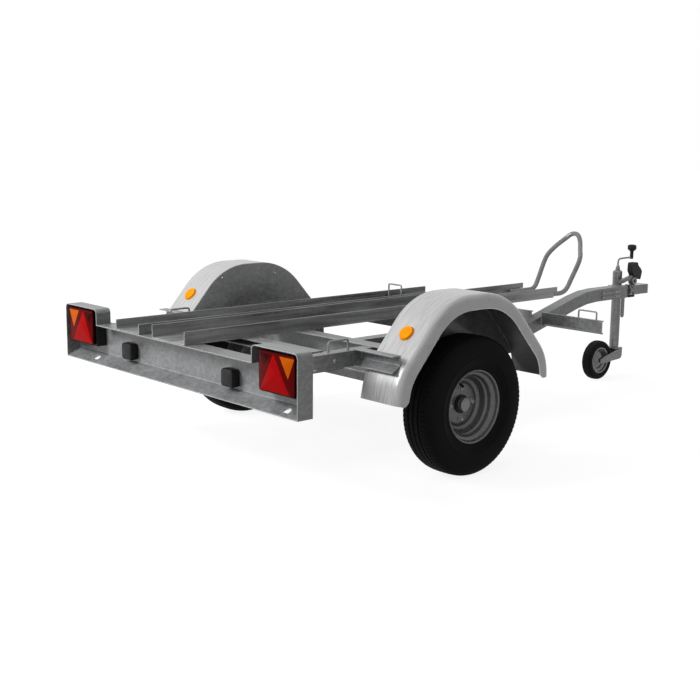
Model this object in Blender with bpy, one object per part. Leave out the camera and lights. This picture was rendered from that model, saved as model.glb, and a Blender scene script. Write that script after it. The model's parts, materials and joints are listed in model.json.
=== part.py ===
# Motorcycle trailer, parked level on its wheels and jockey wheel.
# Metres, +X towards the coupling, +Y left, +Z up; built with the axle at X = 0, then centred.
import math

import bmesh
import bpy
from mathutils import Vector

# Wheels and axle
TYRE_RADIUS = 0.255
TYRE_WIDTH = 0.140
TRACK_HALF = 0.655
RIM_RADIUS = 0.142
RIM_HALF = 0.058
DISC_INSET = 0.010
AXLE_FORWARD = 0.110
AXLE_SIDE = 0.060
AXLE_HALF = 0.500

# Light bar at the rear
BAR_HALF = 0.718
BAR_REAR = -0.821
BAR_DEPTH = 0.062
BAR_BOTTOM = 0.330
FOLD_HEIGHT = 0.363
LEDGE_DEPTH = 0.077
POCKET_WIDTH = 0.234
POCKET_TOP = 0.541
HOOD_CORNER = 0.018
SHEET = 0.003
LENS_WIDTH = 0.182
PLATE_LAMP_INNER = 0.283
PLATE_LAMP_OUTER = 0.347
LENS_HEIGHT = 0.132
LENS_CORNER = 0.010
LIP_HOLE_WIDTH = 0.028
LIP_HOLE_DEPTH = 0.022
LIP_HOLE_RIGHT = 0.636
LIP_HOLE_LEFT = 0.530

# Frame
FRAME_TOP = 0.4815
RAIL_OUTER = 0.5125
RAIL_WIDTH = 0.045
RAIL_HEIGHT = 0.055
RAIL_HOLE = 0.006
MEMBER_WALL = 0.004
MEMBER_DEPTH = 0.060
MEMBER_HEIGHT = 0.100
REAR_MEMBER_X = -0.535
REAR_MEMBER_HEIGHT = 0.026
AXLE_MEMBER_X = -0.285
MID_MEMBER_X = 0.510
LONG_HALF = 0.370
LONG_SIDE = 0.050
FRONT_MEMBER_X = 1.224
FRONT_MEMBER_TOP = 0.404
FRONT_MEMBER_HEIGHT = 0.062
FRONT_MEMBER_HALF = 0.370
FRONT_FLANGE = 0.010
POST_X = 0.900
STOOL_HALF = 0.024
BRACKET_LOW = 0.445
BRACKET_OUTER = 0.700
BRACKET_DEPTH = 0.038

# Tie-down loops
LOOP_ROD = 0.004
REAR_LOOP_X = -0.445
REAR_LOOP_LENGTH = 0.090
REAR_LOOP_HEIGHT = 0.034
FRONT_LOOP_SETBACK = 0.034
FRONT_LOOP_LENGTH = 0.098
FRONT_LOOP_HEIGHT = 0.038

# Wheel channel, ramp and chock hoop
CHANNEL_HALF = 0.1025
CHANNEL_HEIGHT = 0.048
CHANNEL_FRONT = 1.236
CHANNEL_NOTCH = 0.025
RAMP_INNER = 0.190
RAMP_WIDTH = 0.158
RAMP_HEIGHT = 0.038
RAMP_FRONT = 0.827
HANDLE_SETBACK = 0.244
HANDLE_WIDTH = 0.080
HANDLE_HEIGHT = 0.068
HOOP_TUBE = 0.011
HOOP_TOP = 0.757
HOOP_KNEE_AHEAD = 0.114
HOOP_KNEE_RISE = 0.148
HOOP_SHOULDER_AHEAD = 0.183
HOOP_SHOULDER_HALF = 0.046
HOOP_SHOULDER_DROP = 0.031
HOOP_CREST_AHEAD = 0.203
HOOP_CREST_HALF = 0.016

# Drawbar and coupling
DRAWBAR_SIDE = 0.060
DRAWBAR_LOW = 0.320
DRAWBAR_HIGH = 0.4475
DRAWBAR_REAR = -0.310
NECK_START = 1.095
NECK_END = 1.567
NECK_LOW_BEND = 0.300
NECK_HIGH_BEND = 0.620
DRAWBAR_FRONT = 1.900
COUPLING_LENGTH = 0.200
COUPLING_RADIUS = 0.0275
CUP_RADIUS = 0.0340
BALL_RADIUS = 0.0252

# Fenders
FENDER_INNER = 0.556
FENDER_OUTER = 0.736
FENDER_TOP = 0.662
FENDER_LOW = 0.319
FENDER_REAR = -0.410
REAR_KNEE_X = -0.392
REAR_KNEE_Z = 0.412
REAR_KNEE_BEND = 0.200
REAR_CREST_X = -0.172
REAR_CREST_BEND = 0.263
FRONT_CREST_X = 0.145
FRONT_CREST_BEND = 0.285
FRONT_KNEE_X = 0.387
FRONT_KNEE_Z = 0.399
FRONT_KNEE_BEND = 0.180
FENDER_SHOULDER = 0.024
FENDER_SKIRT = 0.052
FENDER_CORNER = 0.026
INNER_PLATE_LOW = 0.385
REFLECTOR_RADIUS = 0.029
REFLECTOR_SHARE = 0.51
REFLECTOR_SHIFT = 0.002

# Jockey wheel
JOCKEY_AHEAD = 0.034
CLAMP_PLATE_LENGTH = 0.134
JOCKEY_Y = 0.0575
JOCKEY_TRAIL = 0.143
JOCKEY_RADIUS = 0.0985
JOCKEY_WIDTH = 0.050
JOCKEY_TUBE = 0.024
JOCKEY_TOP = 0.540
LEG_LOW = 0.150
LEG_CLEARANCE = 0.006
FORK_SHEET = 0.004
CRANK_REACH = 0.116

GAP = 0.0003

for old in list(bpy.data.objects):
    bpy.data.objects.remove(old, do_unlink=True)

trailer = bpy.data.collections.new("motorcycle_trailer")
bpy.context.scene.collection.children.link(trailer)


# Materials

def material(name, colour, metallic, roughness):
    made = bpy.data.materials.new(name)
    made.use_nodes = True
    shader = made.node_tree.nodes["Principled BSDF"]
    shader.inputs["Base Color"].default_value = (*colour, 1.0)
    shader.inputs["Metallic"].default_value = metallic
    shader.inputs["Roughness"].default_value = roughness
    return made


galvanised = material("galvanised", (0.52, 0.53, 0.54), 0.7, 0.45)
sheet_zinc = material("sheet_zinc", (0.68, 0.69, 0.70), 0.7, 0.35)
plated = material("plated", (0.72, 0.72, 0.72), 0.9, 0.25)
tyre_rubber = material("tyre_rubber", (0.02, 0.02, 0.02), 0.0, 0.85)
rim_paint = material("rim_paint", (0.50, 0.51, 0.52), 0.5, 0.40)
black_plastic = material("black_plastic", (0.02, 0.02, 0.02), 0.0, 0.55)
red_lens = material("red_lens", (0.45, 0.01, 0.01), 0.0, 0.20)
amber_lens = material("amber_lens", (0.95, 0.42, 0.02), 0.0, 0.20)


# Shape helpers

def finish(name, mesh, paint):
    bm = bmesh.new()
    bm.from_mesh(mesh)
    bmesh.ops.remove_doubles(bm, verts=bm.verts, dist=0.00002)
    bmesh.ops.dissolve_degenerate(bm, edges=bm.edges, dist=0.00001)
    bmesh.ops.recalc_face_normals(bm, faces=bm.faces)
    bm.to_mesh(mesh)
    bm.free()
    mesh.materials.clear()
    mesh.materials.append(paint)
    made = bpy.data.objects.new(name, mesh)
    trailer.objects.link(made)
    return made


def prism(points, axis, low, high):
    """A flat outline carried from low to high along one axis; points are the other two, in order."""
    bm = bmesh.new()
    places = {"X": lambda a, b: (low, a, b), "Y": lambda a, b: (a, low, b), "Z": lambda a, b: (a, b, low)}
    shift = {"X": (high - low, 0, 0), "Y": (0, high - low, 0), "Z": (0, 0, high - low)}[axis]
    face = bm.faces.new([bm.verts.new(places[axis](a, b)) for a, b in points])
    grown = bmesh.ops.extrude_face_region(bm, geom=[face])
    moved = [item for item in grown["geom"] if isinstance(item, bmesh.types.BMVert)]
    bmesh.ops.translate(bm, verts=moved, vec=shift)
    bmesh.ops.recalc_face_normals(bm, faces=bm.faces)
    mesh = bpy.data.meshes.new("prism")
    bm.to_mesh(mesh)
    bm.free()
    return mesh


def block(x0, x1, y0, y1, z0, z1):
    return prism([(x0, y0), (x1, y0), (x1, y1), (x0, y1)], "Z", z0, z1)


def turned(profile, axis, centre, steps):
    """A closed ring outline of (radius, offset) pairs spun about a line along Y, X or Z."""
    bm = bmesh.new()
    verts = []
    for radius, offset in profile:
        if axis == "Y":
            verts.append(bm.verts.new((radius, offset, 0)))
        elif axis == "X":
            verts.append(bm.verts.new((offset, radius, 0)))
        else:
            verts.append(bm.verts.new((radius, 0, offset)))
    edges = [bm.edges.new((verts[i], verts[(i + 1) % len(verts)])) for i in range(len(verts))]
    line = {"X": (1, 0, 0), "Y": (0, 1, 0), "Z": (0, 0, 1)}[axis]
    bmesh.ops.spin(bm, geom=verts + edges, cent=(0, 0, 0), axis=line, angle=2 * math.pi,
                   steps=steps, use_merge=True)
    bmesh.ops.remove_doubles(bm, verts=bm.verts, dist=0.00002)
    loose = [edge for edge in bm.edges if not edge.link_faces]
    bmesh.ops.delete(bm, geom=loose, context="EDGES")
    bmesh.ops.translate(bm, verts=bm.verts, vec=centre)
    bmesh.ops.recalc_face_normals(bm, faces=bm.faces)
    mesh = bpy.data.meshes.new("turned")
    bm.to_mesh(mesh)
    bm.free()
    return mesh


def rod(points, radius, sides=8, bend=0.0):
    """A round rod along a path; corners are rounded to the bend radius by extra points."""
    path = [Vector(point) for point in points]
    if bend > 0:
        soft = [path[0]]
        for before, corner, after in zip(path, path[1:], path[2:]):
            back = (before - corner).normalized()
            ahead = (after - corner).normalized()
            reach = min(bend, (before - corner).length * 0.45, (after - corner).length * 0.45)
            for share in (1.0, 0.55, 0.0, -0.55, -1.0):
                side = back if share > 0 else ahead
                lean = abs(share)
                pull = 0.18 * (1 - lean) * reach
                soft.append(corner + side * reach * lean + (back + ahead) * pull)
        soft.append(path[-1])
        path = soft
    curve = bpy.data.curves.new("rod", "CURVE")
    curve.dimensions = "3D"
    curve.bevel_depth = radius
    curve.bevel_resolution = max(0, sides // 4 - 1)
    curve.resolution_u = 1
    curve.render_resolution_u = 0
    curve.use_fill_caps = True
    spline = curve.splines.new("POLY")
    spline.points.add(len(path) - 1)
    for place, point in zip(path, spline.points):
        point.co = (*place, 1.0)
    holder = bpy.data.objects.new("rod", curve)
    trailer.objects.link(holder)
    mesh = bpy.data.meshes.new_from_object(holder.evaluated_get(bpy.context.evaluated_depsgraph_get()))
    bpy.data.objects.remove(holder, do_unlink=True)
    bm = bmesh.new()
    bm.from_mesh(mesh)
    bmesh.ops.remove_doubles(bm, verts=bm.verts, dist=0.00002)
    bmesh.ops.recalc_face_normals(bm, faces=bm.faces)
    bm.to_mesh(mesh)
    bm.free()
    return mesh


def combine(base, others, how):
    """Exact Boolean of meshes; the result is a new mesh."""
    holder = bpy.data.objects.new("base", base)
    trailer.objects.link(holder)
    helpers = []
    for other in others:
        helper = bpy.data.objects.new("helper", other)
        trailer.objects.link(helper)
        helpers.append(helper)
        step = holder.modifiers.new("step", "BOOLEAN")
        step.operation = how
        step.solver = "EXACT"
        step.object = helper
    mesh = bpy.data.meshes.new_from_object(holder.evaluated_get(bpy.context.evaluated_depsgraph_get()))
    for item in [holder] + helpers:
        bpy.data.objects.remove(item, do_unlink=True)
    return mesh


def flip(mesh):
    """The mirror image of a mesh across the Y = 0 plane."""
    copy = mesh.copy()
    bm = bmesh.new()
    bm.from_mesh(copy)
    for vert in bm.verts:
        vert.co.y = -vert.co.y
    bmesh.ops.reverse_faces(bm, faces=bm.faces)
    bm.to_mesh(copy)
    bm.free()
    return copy


def pair(stem, mesh, paint):
    """The left piece and its mirror image on the right."""
    return finish(stem + "_left", mesh, paint), finish(stem + "_right", flip(mesh), paint)


def sheet(line, thickness):
    """The outline of a folded sheet: a line of points and its copy shifted to the right of travel."""
    spots = [Vector(point) for point in line]
    shifted = []
    for i, spot in enumerate(spots):
        ways = []
        if i > 0:
            ways.append((spot - spots[i - 1]).normalized())
        if i < len(spots) - 1:
            ways.append((spots[i + 1] - spot).normalized())
        normals = [Vector((way.y, -way.x)) for way in ways]
        middle = sum(normals, Vector((0, 0))).normalized()
        reach = thickness / max(0.3, middle.dot(normals[0]))
        shifted.append(spot + middle * reach)
    return [tuple(spot) for spot in spots] + [tuple(spot) for spot in reversed(shifted)]


def rounded(corners):
    """A line through corners of (a, b, radius): its points and their unit normals to the left of travel."""
    spots = [Vector(corner[:2]) for corner in corners]
    points = []
    normals = []
    for i, spot in enumerate(spots):
        before = (spot - spots[i - 1]).normalized() if i > 0 else None
        after = (spots[i + 1] - spot).normalized() if i < len(spots) - 1 else None
        radius = corners[i][2]
        if before is None or after is None or radius == 0:
            way = after if before is None else before
            points.append(spot)
            normals.append(Vector((-way.y, way.x)))
            continue
        turn = before.angle_signed(after) * -1
        reach = radius * math.tan(abs(turn) / 2)
        limit = min((spot - spots[i - 1]).length, (spots[i + 1] - spot).length) * 0.96
        reach = min(reach, limit)
        radius = reach / math.tan(abs(turn) / 2)
        start = spot - before * reach
        normal = Vector((-before.y, before.x))
        side = math.copysign(1, turn)
        centre = start + normal * radius * side
        steps = max(2, math.ceil(abs(turn) / 0.2))
        for k in range(steps + 1):
            angle = turn * k / steps
            turned_normal = Vector((normal.x * math.cos(angle) - normal.y * math.sin(angle),
                                    normal.x * math.sin(angle) + normal.y * math.cos(angle)))
            points.append(centre - turned_normal * radius * side)
            normals.append(turned_normal)
    return points, normals


def offset(points, normals, distance):
    return [tuple(point + normal * distance) for point, normal in zip(points, normals)]


def soft_box(a0, a1, b0, b1, radius, corners=(1, 1, 1, 1)):
    """A rectangle's outline with rounded corners, in the order low-low, high-low, high-high, low-high."""
    outline = []
    centres = ((a0, b0, 1, 1, 180), (a1, b0, -1, 1, 270), (a1, b1, -1, -1, 0), (a0, b1, 1, -1, 90))
    for (a, b, toward_a, toward_b, start), soft in zip(centres, corners):
        if not soft:
            outline.append((a, b))
            continue
        for k in range(4):
            angle = math.radians(start + 30 * k)
            outline.append((a + radius * (toward_a + math.cos(angle)), b + radius * (toward_b + math.sin(angle))))
    return outline


# Light bar: a sheet section open to the rear with a hooded pocket at each end

plate_x = BAR_REAR + BAR_DEPTH
pocket_inner = BAR_HALF - POCKET_WIDTH
ledge = block(BAR_REAR, BAR_REAR + LEDGE_DEPTH, -BAR_HALF, BAR_HALF, FRAME_TOP - SHEET, FRAME_TOP)
web = block(plate_x - SHEET, plate_x, -BAR_HALF, BAR_HALF, FOLD_HEIGHT - SHEET, FRAME_TOP - SHEET / 2)
lip = prism([(plate_x, FOLD_HEIGHT), (BAR_REAR, BAR_BOTTOM + SHEET), (BAR_REAR, BAR_BOTTOM),
             (plate_x, FOLD_HEIGHT - SHEET)], "Y", -BAR_HALF, BAR_HALF)
pieces = [web, lip]
for side in (-1, 1):
    low, high = sorted((side * pocket_inner, side * BAR_HALF))
    hood_corners = [(low, FRAME_TOP - SHEET / 2, 0), (low, POCKET_TOP, HOOD_CORNER),
                    (high, POCKET_TOP, HOOD_CORNER), (high, BAR_BOTTOM, 0)]
    if side < 0:
        hood_corners[0] = (low, BAR_BOTTOM, 0)
        hood_corners[3] = (high, FRAME_TOP - SHEET / 2, 0)
    hood, hood_normals = rounded(hood_corners)
    hood_outline = offset(hood, hood_normals, 0) + offset(hood, hood_normals, -SHEET)[::-1]
    pieces.append(prism(hood_outline, "X", BAR_REAR, plate_x))
    back_outline = offset(hood, hood_normals, -SHEET / 2)
    back_outline = [(a, max(b, FRAME_TOP - SHEET / 2)) for a, b in back_outline]
    pieces.append(prism(back_outline, "X", plate_x - SHEET, plate_x - SHEET / 8))
# the ledge is cut away behind each lamp, and the lip has a half-round cable hole at each end
openings = [block(BAR_REAR - 0.01, plate_x - SHEET, low, high, FRAME_TOP - 0.02, FRAME_TOP + 0.02)
            for low, high in ((pocket_inner + SHEET, BAR_HALF - SHEET),
                              (-BAR_HALF + SHEET, -pocket_inner - SHEET))]
hole_x = BAR_REAR + BAR_DEPTH / 2 - LIP_HOLE_DEPTH / 4
for hole_y in (-LIP_HOLE_RIGHT, LIP_HOLE_LEFT):
    hole_half = LIP_HOLE_WIDTH / 2
    hole_outline = [(hole_x - LIP_HOLE_DEPTH + hole_half, hole_y + hole_half),
                    (hole_x - LIP_HOLE_DEPTH + hole_half, hole_y - hole_half)]
    hole_outline += [(hole_x + hole_half * math.sin(math.radians(angle)),
                      hole_y - hole_half * math.cos(math.radians(angle))) for angle in range(0, 181, 30)]
    openings.append(prism(hole_outline, "Z", BAR_BOTTOM - 0.01, FOLD_HEIGHT + 0.01))
bar_mesh = combine(combine(ledge, pieces, "UNION"), openings, "DIFFERENCE")
finish("light_bar", bar_mesh, galvanised)

# Lamps

lens_outer = BAR_HALF - 0.018
lens_top = POCKET_TOP - SHEET - 0.008
housing = block(BAR_REAR + 0.018, plate_x - SHEET - GAP, lens_outer - LENS_WIDTH - 0.006,
                lens_outer + 0.006, lens_top - LENS_HEIGHT - 0.005, lens_top + 0.005)
pair("lamp_housing", housing, black_plastic)
lens = prism(soft_box(lens_outer - LENS_WIDTH, lens_outer, lens_top - LENS_HEIGHT, lens_top, LENS_CORNER),
             "X", BAR_REAR + 0.004, BAR_REAR + 0.018 - GAP)
pair("lamp_lens", lens, red_lens)
plate_lamp = block(plate_x - SHEET - GAP - 0.035, plate_x - SHEET - GAP, PLATE_LAMP_INNER, PLATE_LAMP_OUTER,
                   FOLD_HEIGHT + 0.006, FOLD_HEIGHT + 0.068)
pair("plate_lamp", plate_lamp, black_plastic)

# Fender arch: a line with rounded corners that the brackets and the fenders share

arch, arch_out = rounded([(FENDER_REAR, FENDER_LOW, 0), (REAR_KNEE_X, REAR_KNEE_Z, REAR_KNEE_BEND),
                          (REAR_CREST_X, FENDER_TOP, REAR_CREST_BEND),
                          (FRONT_CREST_X, FENDER_TOP, FRONT_CREST_BEND),
                          (FRONT_KNEE_X, FRONT_KNEE_Z, FRONT_KNEE_BEND), (FRONT_KNEE_X, FENDER_LOW, 0)])


def crossing(line, height):
    """Where a line of points first and last passes a height."""
    found = []
    for before, after in zip(line, line[1:]):
        low, high = sorted((before[1], after[1]))
        if low <= height <= high and low != high:
            share = (height - before[1]) / (after[1] - before[1])
            found.append(before[0] + (after[0] - before[0]) * share)
    return found[0], found[-1]


# Side rails: channel sections open inward, each with a folded bracket out to the fender's rear face

rail_inner = RAIL_OUTER - RAIL_WIDTH
rail_top = FRAME_TOP - MEMBER_WALL - GAP
rail_low = rail_top - RAIL_HEIGHT
rail_front = AXLE_MEMBER_X + MEMBER_DEPTH / 2 - MEMBER_WALL - GAP
rail = prism([(rail_inner, rail_low), (RAIL_OUTER, rail_low), (RAIL_OUTER, rail_top), (rail_inner, rail_top),
              (rail_inner, rail_top - SHEET), (RAIL_OUTER - SHEET, rail_top - SHEET),
              (RAIL_OUTER - SHEET, rail_low + SHEET), (rail_inner, rail_low + SHEET)],
             "X", plate_x + GAP, rail_front)
bracket_x = crossing(offset(arch, arch_out, GAP), BRACKET_LOW)[0]
bracket_line = [(bracket_x - BRACKET_DEPTH, FRAME_TOP), (bracket_x, FRAME_TOP), (bracket_x, BRACKET_LOW),
                (bracket_x - BRACKET_DEPTH, BRACKET_LOW - BRACKET_DEPTH * 0.6)]
bracket = prism(sheet(bracket_line, MEMBER_WALL), "Y", RAIL_OUTER - SHEET / 2, BRACKET_OUTER)
rail_hole = turned([(0.0, RAIL_OUTER - 0.01), (RAIL_HOLE, RAIL_OUTER - 0.01), (RAIL_HOLE, RAIL_OUTER + 0.01),
                    (0.0, RAIL_OUTER + 0.01)], "Y",
                   (REAR_LOOP_X - REAR_LOOP_LENGTH / 2, 0, rail_low + RAIL_HEIGHT / 2), 12)
pair("side_rail", combine(combine(rail, [bracket], "UNION"), [rail_hole], "DIFFERENCE"), galvanised)

# Cross-members


def open_member(x_middle, depth, top, height, half, facing):
    """A channel section across the trailer, open to the rear (-1) or the front (1)."""
    web_x = x_middle - facing * depth / 2
    open_x = x_middle + facing * depth / 2
    wall = web_x + facing * MEMBER_WALL
    return prism([(web_x, top - height), (open_x, top - height), (open_x, top - height + MEMBER_WALL),
                  (wall, top - height + MEMBER_WALL), (wall, top - MEMBER_WALL), (open_x, top - MEMBER_WALL),
                  (open_x, top), (web_x, top)], "Y", -half, half)


rear_half = rail_inner - GAP
finish("cross_member_rear", open_member(REAR_MEMBER_X, MEMBER_DEPTH, FRAME_TOP, REAR_MEMBER_HEIGHT,
                                        rear_half, -1), galvanised)
axle_member_half = FENDER_INNER - GAP
finish("cross_member_axle", open_member(AXLE_MEMBER_X, MEMBER_DEPTH, FRAME_TOP, MEMBER_HEIGHT,
                                        axle_member_half, -1), galvanised)
mid_half = LONG_HALF + LONG_SIDE / 2
finish("cross_member_mid", open_member(MID_MEMBER_X, MEMBER_DEPTH, FRAME_TOP, MEMBER_HEIGHT,
                                       mid_half, 1), galvanised)


def box_tube(x0, x1, y_middle, side, top):
    outer = block(x0, x1, y_middle - side / 2, y_middle + side / 2, top - side, top)
    inner = block(x0 - 0.01, x1 + 0.01, y_middle - side / 2 + SHEET, y_middle + side / 2 - SHEET,
                  top - side + SHEET, top - SHEET)
    return combine(outer, [inner], "DIFFERENCE")


long_rear = AXLE_MEMBER_X + MEMBER_DEPTH / 2 + GAP
long_front = MID_MEMBER_X - MEMBER_DEPTH / 2 - GAP
pair("longitudinal", box_tube(long_rear, long_front, LONG_HALF, LONG_SIDE, FRAME_TOP), galvanised)

# Front cross-member halves, each with a tie-down loop, butting on the drawbar's sides

front_low = FRONT_MEMBER_TOP - FRONT_MEMBER_HEIGHT
front_inner = DRAWBAR_SIDE / 2 + GAP
front_line = [(FRONT_MEMBER_X + FRONT_FLANGE, FRONT_MEMBER_TOP), (FRONT_MEMBER_X - MEMBER_WALL, FRONT_MEMBER_TOP),
              (FRONT_MEMBER_X - MEMBER_WALL, front_low + FRONT_FLANGE),
              (FRONT_MEMBER_X - MEMBER_WALL + FRONT_FLANGE, front_low)]
front_section = [(a, b) for a, b in sheet(front_line[::-1], MEMBER_WALL)]
front_half = prism(front_section, "Y", front_inner, FRONT_MEMBER_HALF)
loop_x = FRONT_MEMBER_X
loop_base = FRONT_MEMBER_TOP - MEMBER_WALL / 2
loop_outer = FRONT_MEMBER_HALF - FRONT_LOOP_SETBACK
loop_inner = loop_outer - FRONT_LOOP_LENGTH
loop_top = loop_base + FRONT_LOOP_HEIGHT
loop = rod([(loop_x, loop_inner, loop_base), (loop_x, loop_inner, loop_top),
            (loop_x, loop_outer, loop_top), (loop_x, loop_outer, loop_base)], LOOP_ROD, 8, 0.008)
pair("cross_member_front", combine(front_half, [loop], "UNION"), galvanised)

# Rear tie-down loops on the side rails

loop_y = RAIL_OUTER - RAIL_WIDTH / 2 - 0.010
loop_low = rail_top + GAP
loop_rear = REAR_LOOP_X - REAR_LOOP_LENGTH / 2
loop_front = REAR_LOOP_X + REAR_LOOP_LENGTH / 2
rear_loop = rod([(loop_rear, loop_y, loop_low), (loop_rear, loop_y, loop_low + REAR_LOOP_HEIGHT),
                 (loop_front, loop_y, loop_low + REAR_LOOP_HEIGHT), (loop_front, loop_y, loop_low)],
                LOOP_ROD, 8, 0.012)
pair("rear_loop", rear_loop, galvanised)

# Wheel channel, flared a little at the rear mouth, and the loading ramp beside it

channel_rear = BAR_REAR + 0.004


def trough(inner, outer, base, height, x0, x1, thickness):
    return prism([(inner, base), (outer, base), (outer, base + height), (outer - thickness, base + height),
                  (outer - thickness, base + thickness), (inner + thickness, base + thickness),
                  (inner + thickness, base + height), (inner, base + height)], "X", x0, x1)


channel_base = FRAME_TOP + GAP
channel = trough(-CHANNEL_HALF, CHANNEL_HALF, channel_base, CHANNEL_HEIGHT, channel_rear, CHANNEL_FRONT, SHEET)
notch = block(CHANNEL_FRONT - CHANNEL_NOTCH, CHANNEL_FRONT + 0.01, -CHANNEL_HALF - 0.01, CHANNEL_HALF + 0.01,
              channel_base - 0.01, channel_base + CHANNEL_HEIGHT / 2)
finish("wheel_channel", combine(channel, [notch], "DIFFERENCE"), galvanised)
ramp_outer = RAMP_INNER + RAMP_WIDTH
ramp = trough(RAMP_INNER, ramp_outer, channel_base, RAMP_HEIGHT, channel_rear, RAMP_FRONT, SHEET)
handle_x = RAMP_FRONT - HANDLE_SETBACK
handle_outer = ramp_outer - 0.010
handle_low = channel_base + SHEET / 2
handle_top = channel_base + HANDLE_HEIGHT
handle = rod([(handle_x, handle_outer - HANDLE_WIDTH, handle_low), (handle_x, handle_outer - HANDLE_WIDTH, handle_top),
              (handle_x, handle_outer, handle_top), (handle_x, handle_outer, handle_low)], LOOP_ROD, 8, 0.008)
finish("loading_ramp", combine(ramp, [handle], "UNION"), galvanised)

# Chock hoop: its feet lie inside the channel's walls

foot_y = CHANNEL_HALF - SHEET - HOOP_TUBE - 0.0006
foot_z = channel_base + SHEET + HOOP_TUBE + GAP
hoop_x = CHANNEL_FRONT + 0.050
half_hoop = [(CHANNEL_FRONT - 0.110, foot_y, foot_z), (hoop_x, foot_y, foot_z),
             (hoop_x + 0.040, foot_y + 0.004, foot_z + 0.026),
             (hoop_x + HOOP_KNEE_AHEAD, foot_y + 0.012, foot_z + HOOP_KNEE_RISE),
             (hoop_x + HOOP_SHOULDER_AHEAD, HOOP_SHOULDER_HALF, HOOP_TOP - HOOP_SHOULDER_DROP),
             (hoop_x + HOOP_CREST_AHEAD, HOOP_CREST_HALF, HOOP_TOP)]
hoop = half_hoop + [(x, -y, z) for x, y, z in reversed(half_hoop)]
finish("chock_hoop", rod(hoop, HOOP_TUBE, 12, 0.022), plated)

# Drawbar: one square tube with a raised neck, stools under the cross-members and a channel post

half = DRAWBAR_SIDE / 2
neck, neck_up = rounded([(DRAWBAR_REAR, DRAWBAR_LOW, 0), (NECK_START, DRAWBAR_LOW, NECK_LOW_BEND),
                         (NECK_END, DRAWBAR_HIGH, NECK_HIGH_BEND), (DRAWBAR_FRONT, DRAWBAR_HIGH, 0)])
drawbar = prism(offset(neck, neck_up, half) + offset(neck, neck_up, -half)[::-1], "Y", -half, half)
supports = []
for middle, top in ((AXLE_MEMBER_X, FRAME_TOP - MEMBER_HEIGHT), (MID_MEMBER_X, FRAME_TOP - MEMBER_HEIGHT),
                    (POST_X, FRAME_TOP)):
    supports.append(block(middle - STOOL_HALF, middle + STOOL_HALF, -STOOL_HALF, STOOL_HALF,
                          DRAWBAR_LOW + half - 0.002, top))
finish("drawbar", combine(drawbar, supports, "UNION"), galvanised)

# Axle beam with a bracket up to each longitudinal, swing arms and stub axles

axle_top = DRAWBAR_LOW - half - GAP
axle_low = axle_top - AXLE_SIDE
beam = block(AXLE_FORWARD - AXLE_SIDE / 2, AXLE_FORWARD + AXLE_SIDE / 2, -AXLE_HALF, AXLE_HALF,
             axle_low, axle_top)
bracket_top = FRAME_TOP - LONG_SIDE - GAP
brackets = [block(AXLE_FORWARD - 0.045, AXLE_FORWARD + 0.045, side * LONG_HALF - 0.020,
                  side * LONG_HALF + 0.020, axle_top - 0.002, bracket_top) for side in (-1, 1)]
finish("axle_beam", combine(beam, brackets, "UNION"), galvanised)

arm_inner = AXLE_HALF + GAP
arm_outer = arm_inner + 0.030
axle_middle = (axle_top + axle_low) / 2
arm = prism([(AXLE_FORWARD + 0.035, axle_middle - 0.035), (AXLE_FORWARD + 0.035, axle_middle + 0.030),
             (AXLE_FORWARD - 0.010, axle_middle + 0.038), (-0.020, TYRE_RADIUS + 0.026),
             (-0.032, TYRE_RADIUS), (-0.020, TYRE_RADIUS - 0.026), (AXLE_FORWARD - 0.010, axle_middle - 0.038)],
            "Y", arm_inner, arm_outer)
wheel_inner = TRACK_HALF - TYRE_WIDTH / 2
stub_end = wheel_inner + 0.010
journal_end = TRACK_HALF - DISC_INSET - 0.018
stub = turned([(0.0, arm_outer - 0.010), (0.022, arm_outer - 0.010), (0.022, stub_end), (0.016, stub_end),
               (0.016, journal_end), (0.0, journal_end)], "Y", (0, 0, TYRE_RADIUS), 24)
pair("swing_arm", combine(arm, [stub], "UNION"), galvanised)

# Fenders: a sheet over the arch with a rounded shoulder into an outer skirt, and an inner plate

thin = SHEET


def stations(points, normals, extra):
    """The points of a line with more of them at the given distances from both ends."""
    length = [0.0]
    for before, after in zip(points, points[1:]):
        length.append(length[-1] + (after - before).length)
    total = length[-1]
    places = sorted(set(length + [e for e in extra] + [total - e for e in extra]))
    result = []
    for place in places:
        k = max(i for i in range(len(length) - 1) if length[i] <= place + 1e-9)
        share = (place - length[k]) / (length[k + 1] - length[k])
        normal = (normals[k] * (1 - share) + normals[k + 1] * share).normalized()
        result.append((points[k].lerp(points[k + 1], share), normal, min(place, total - place)))
    return result


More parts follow.
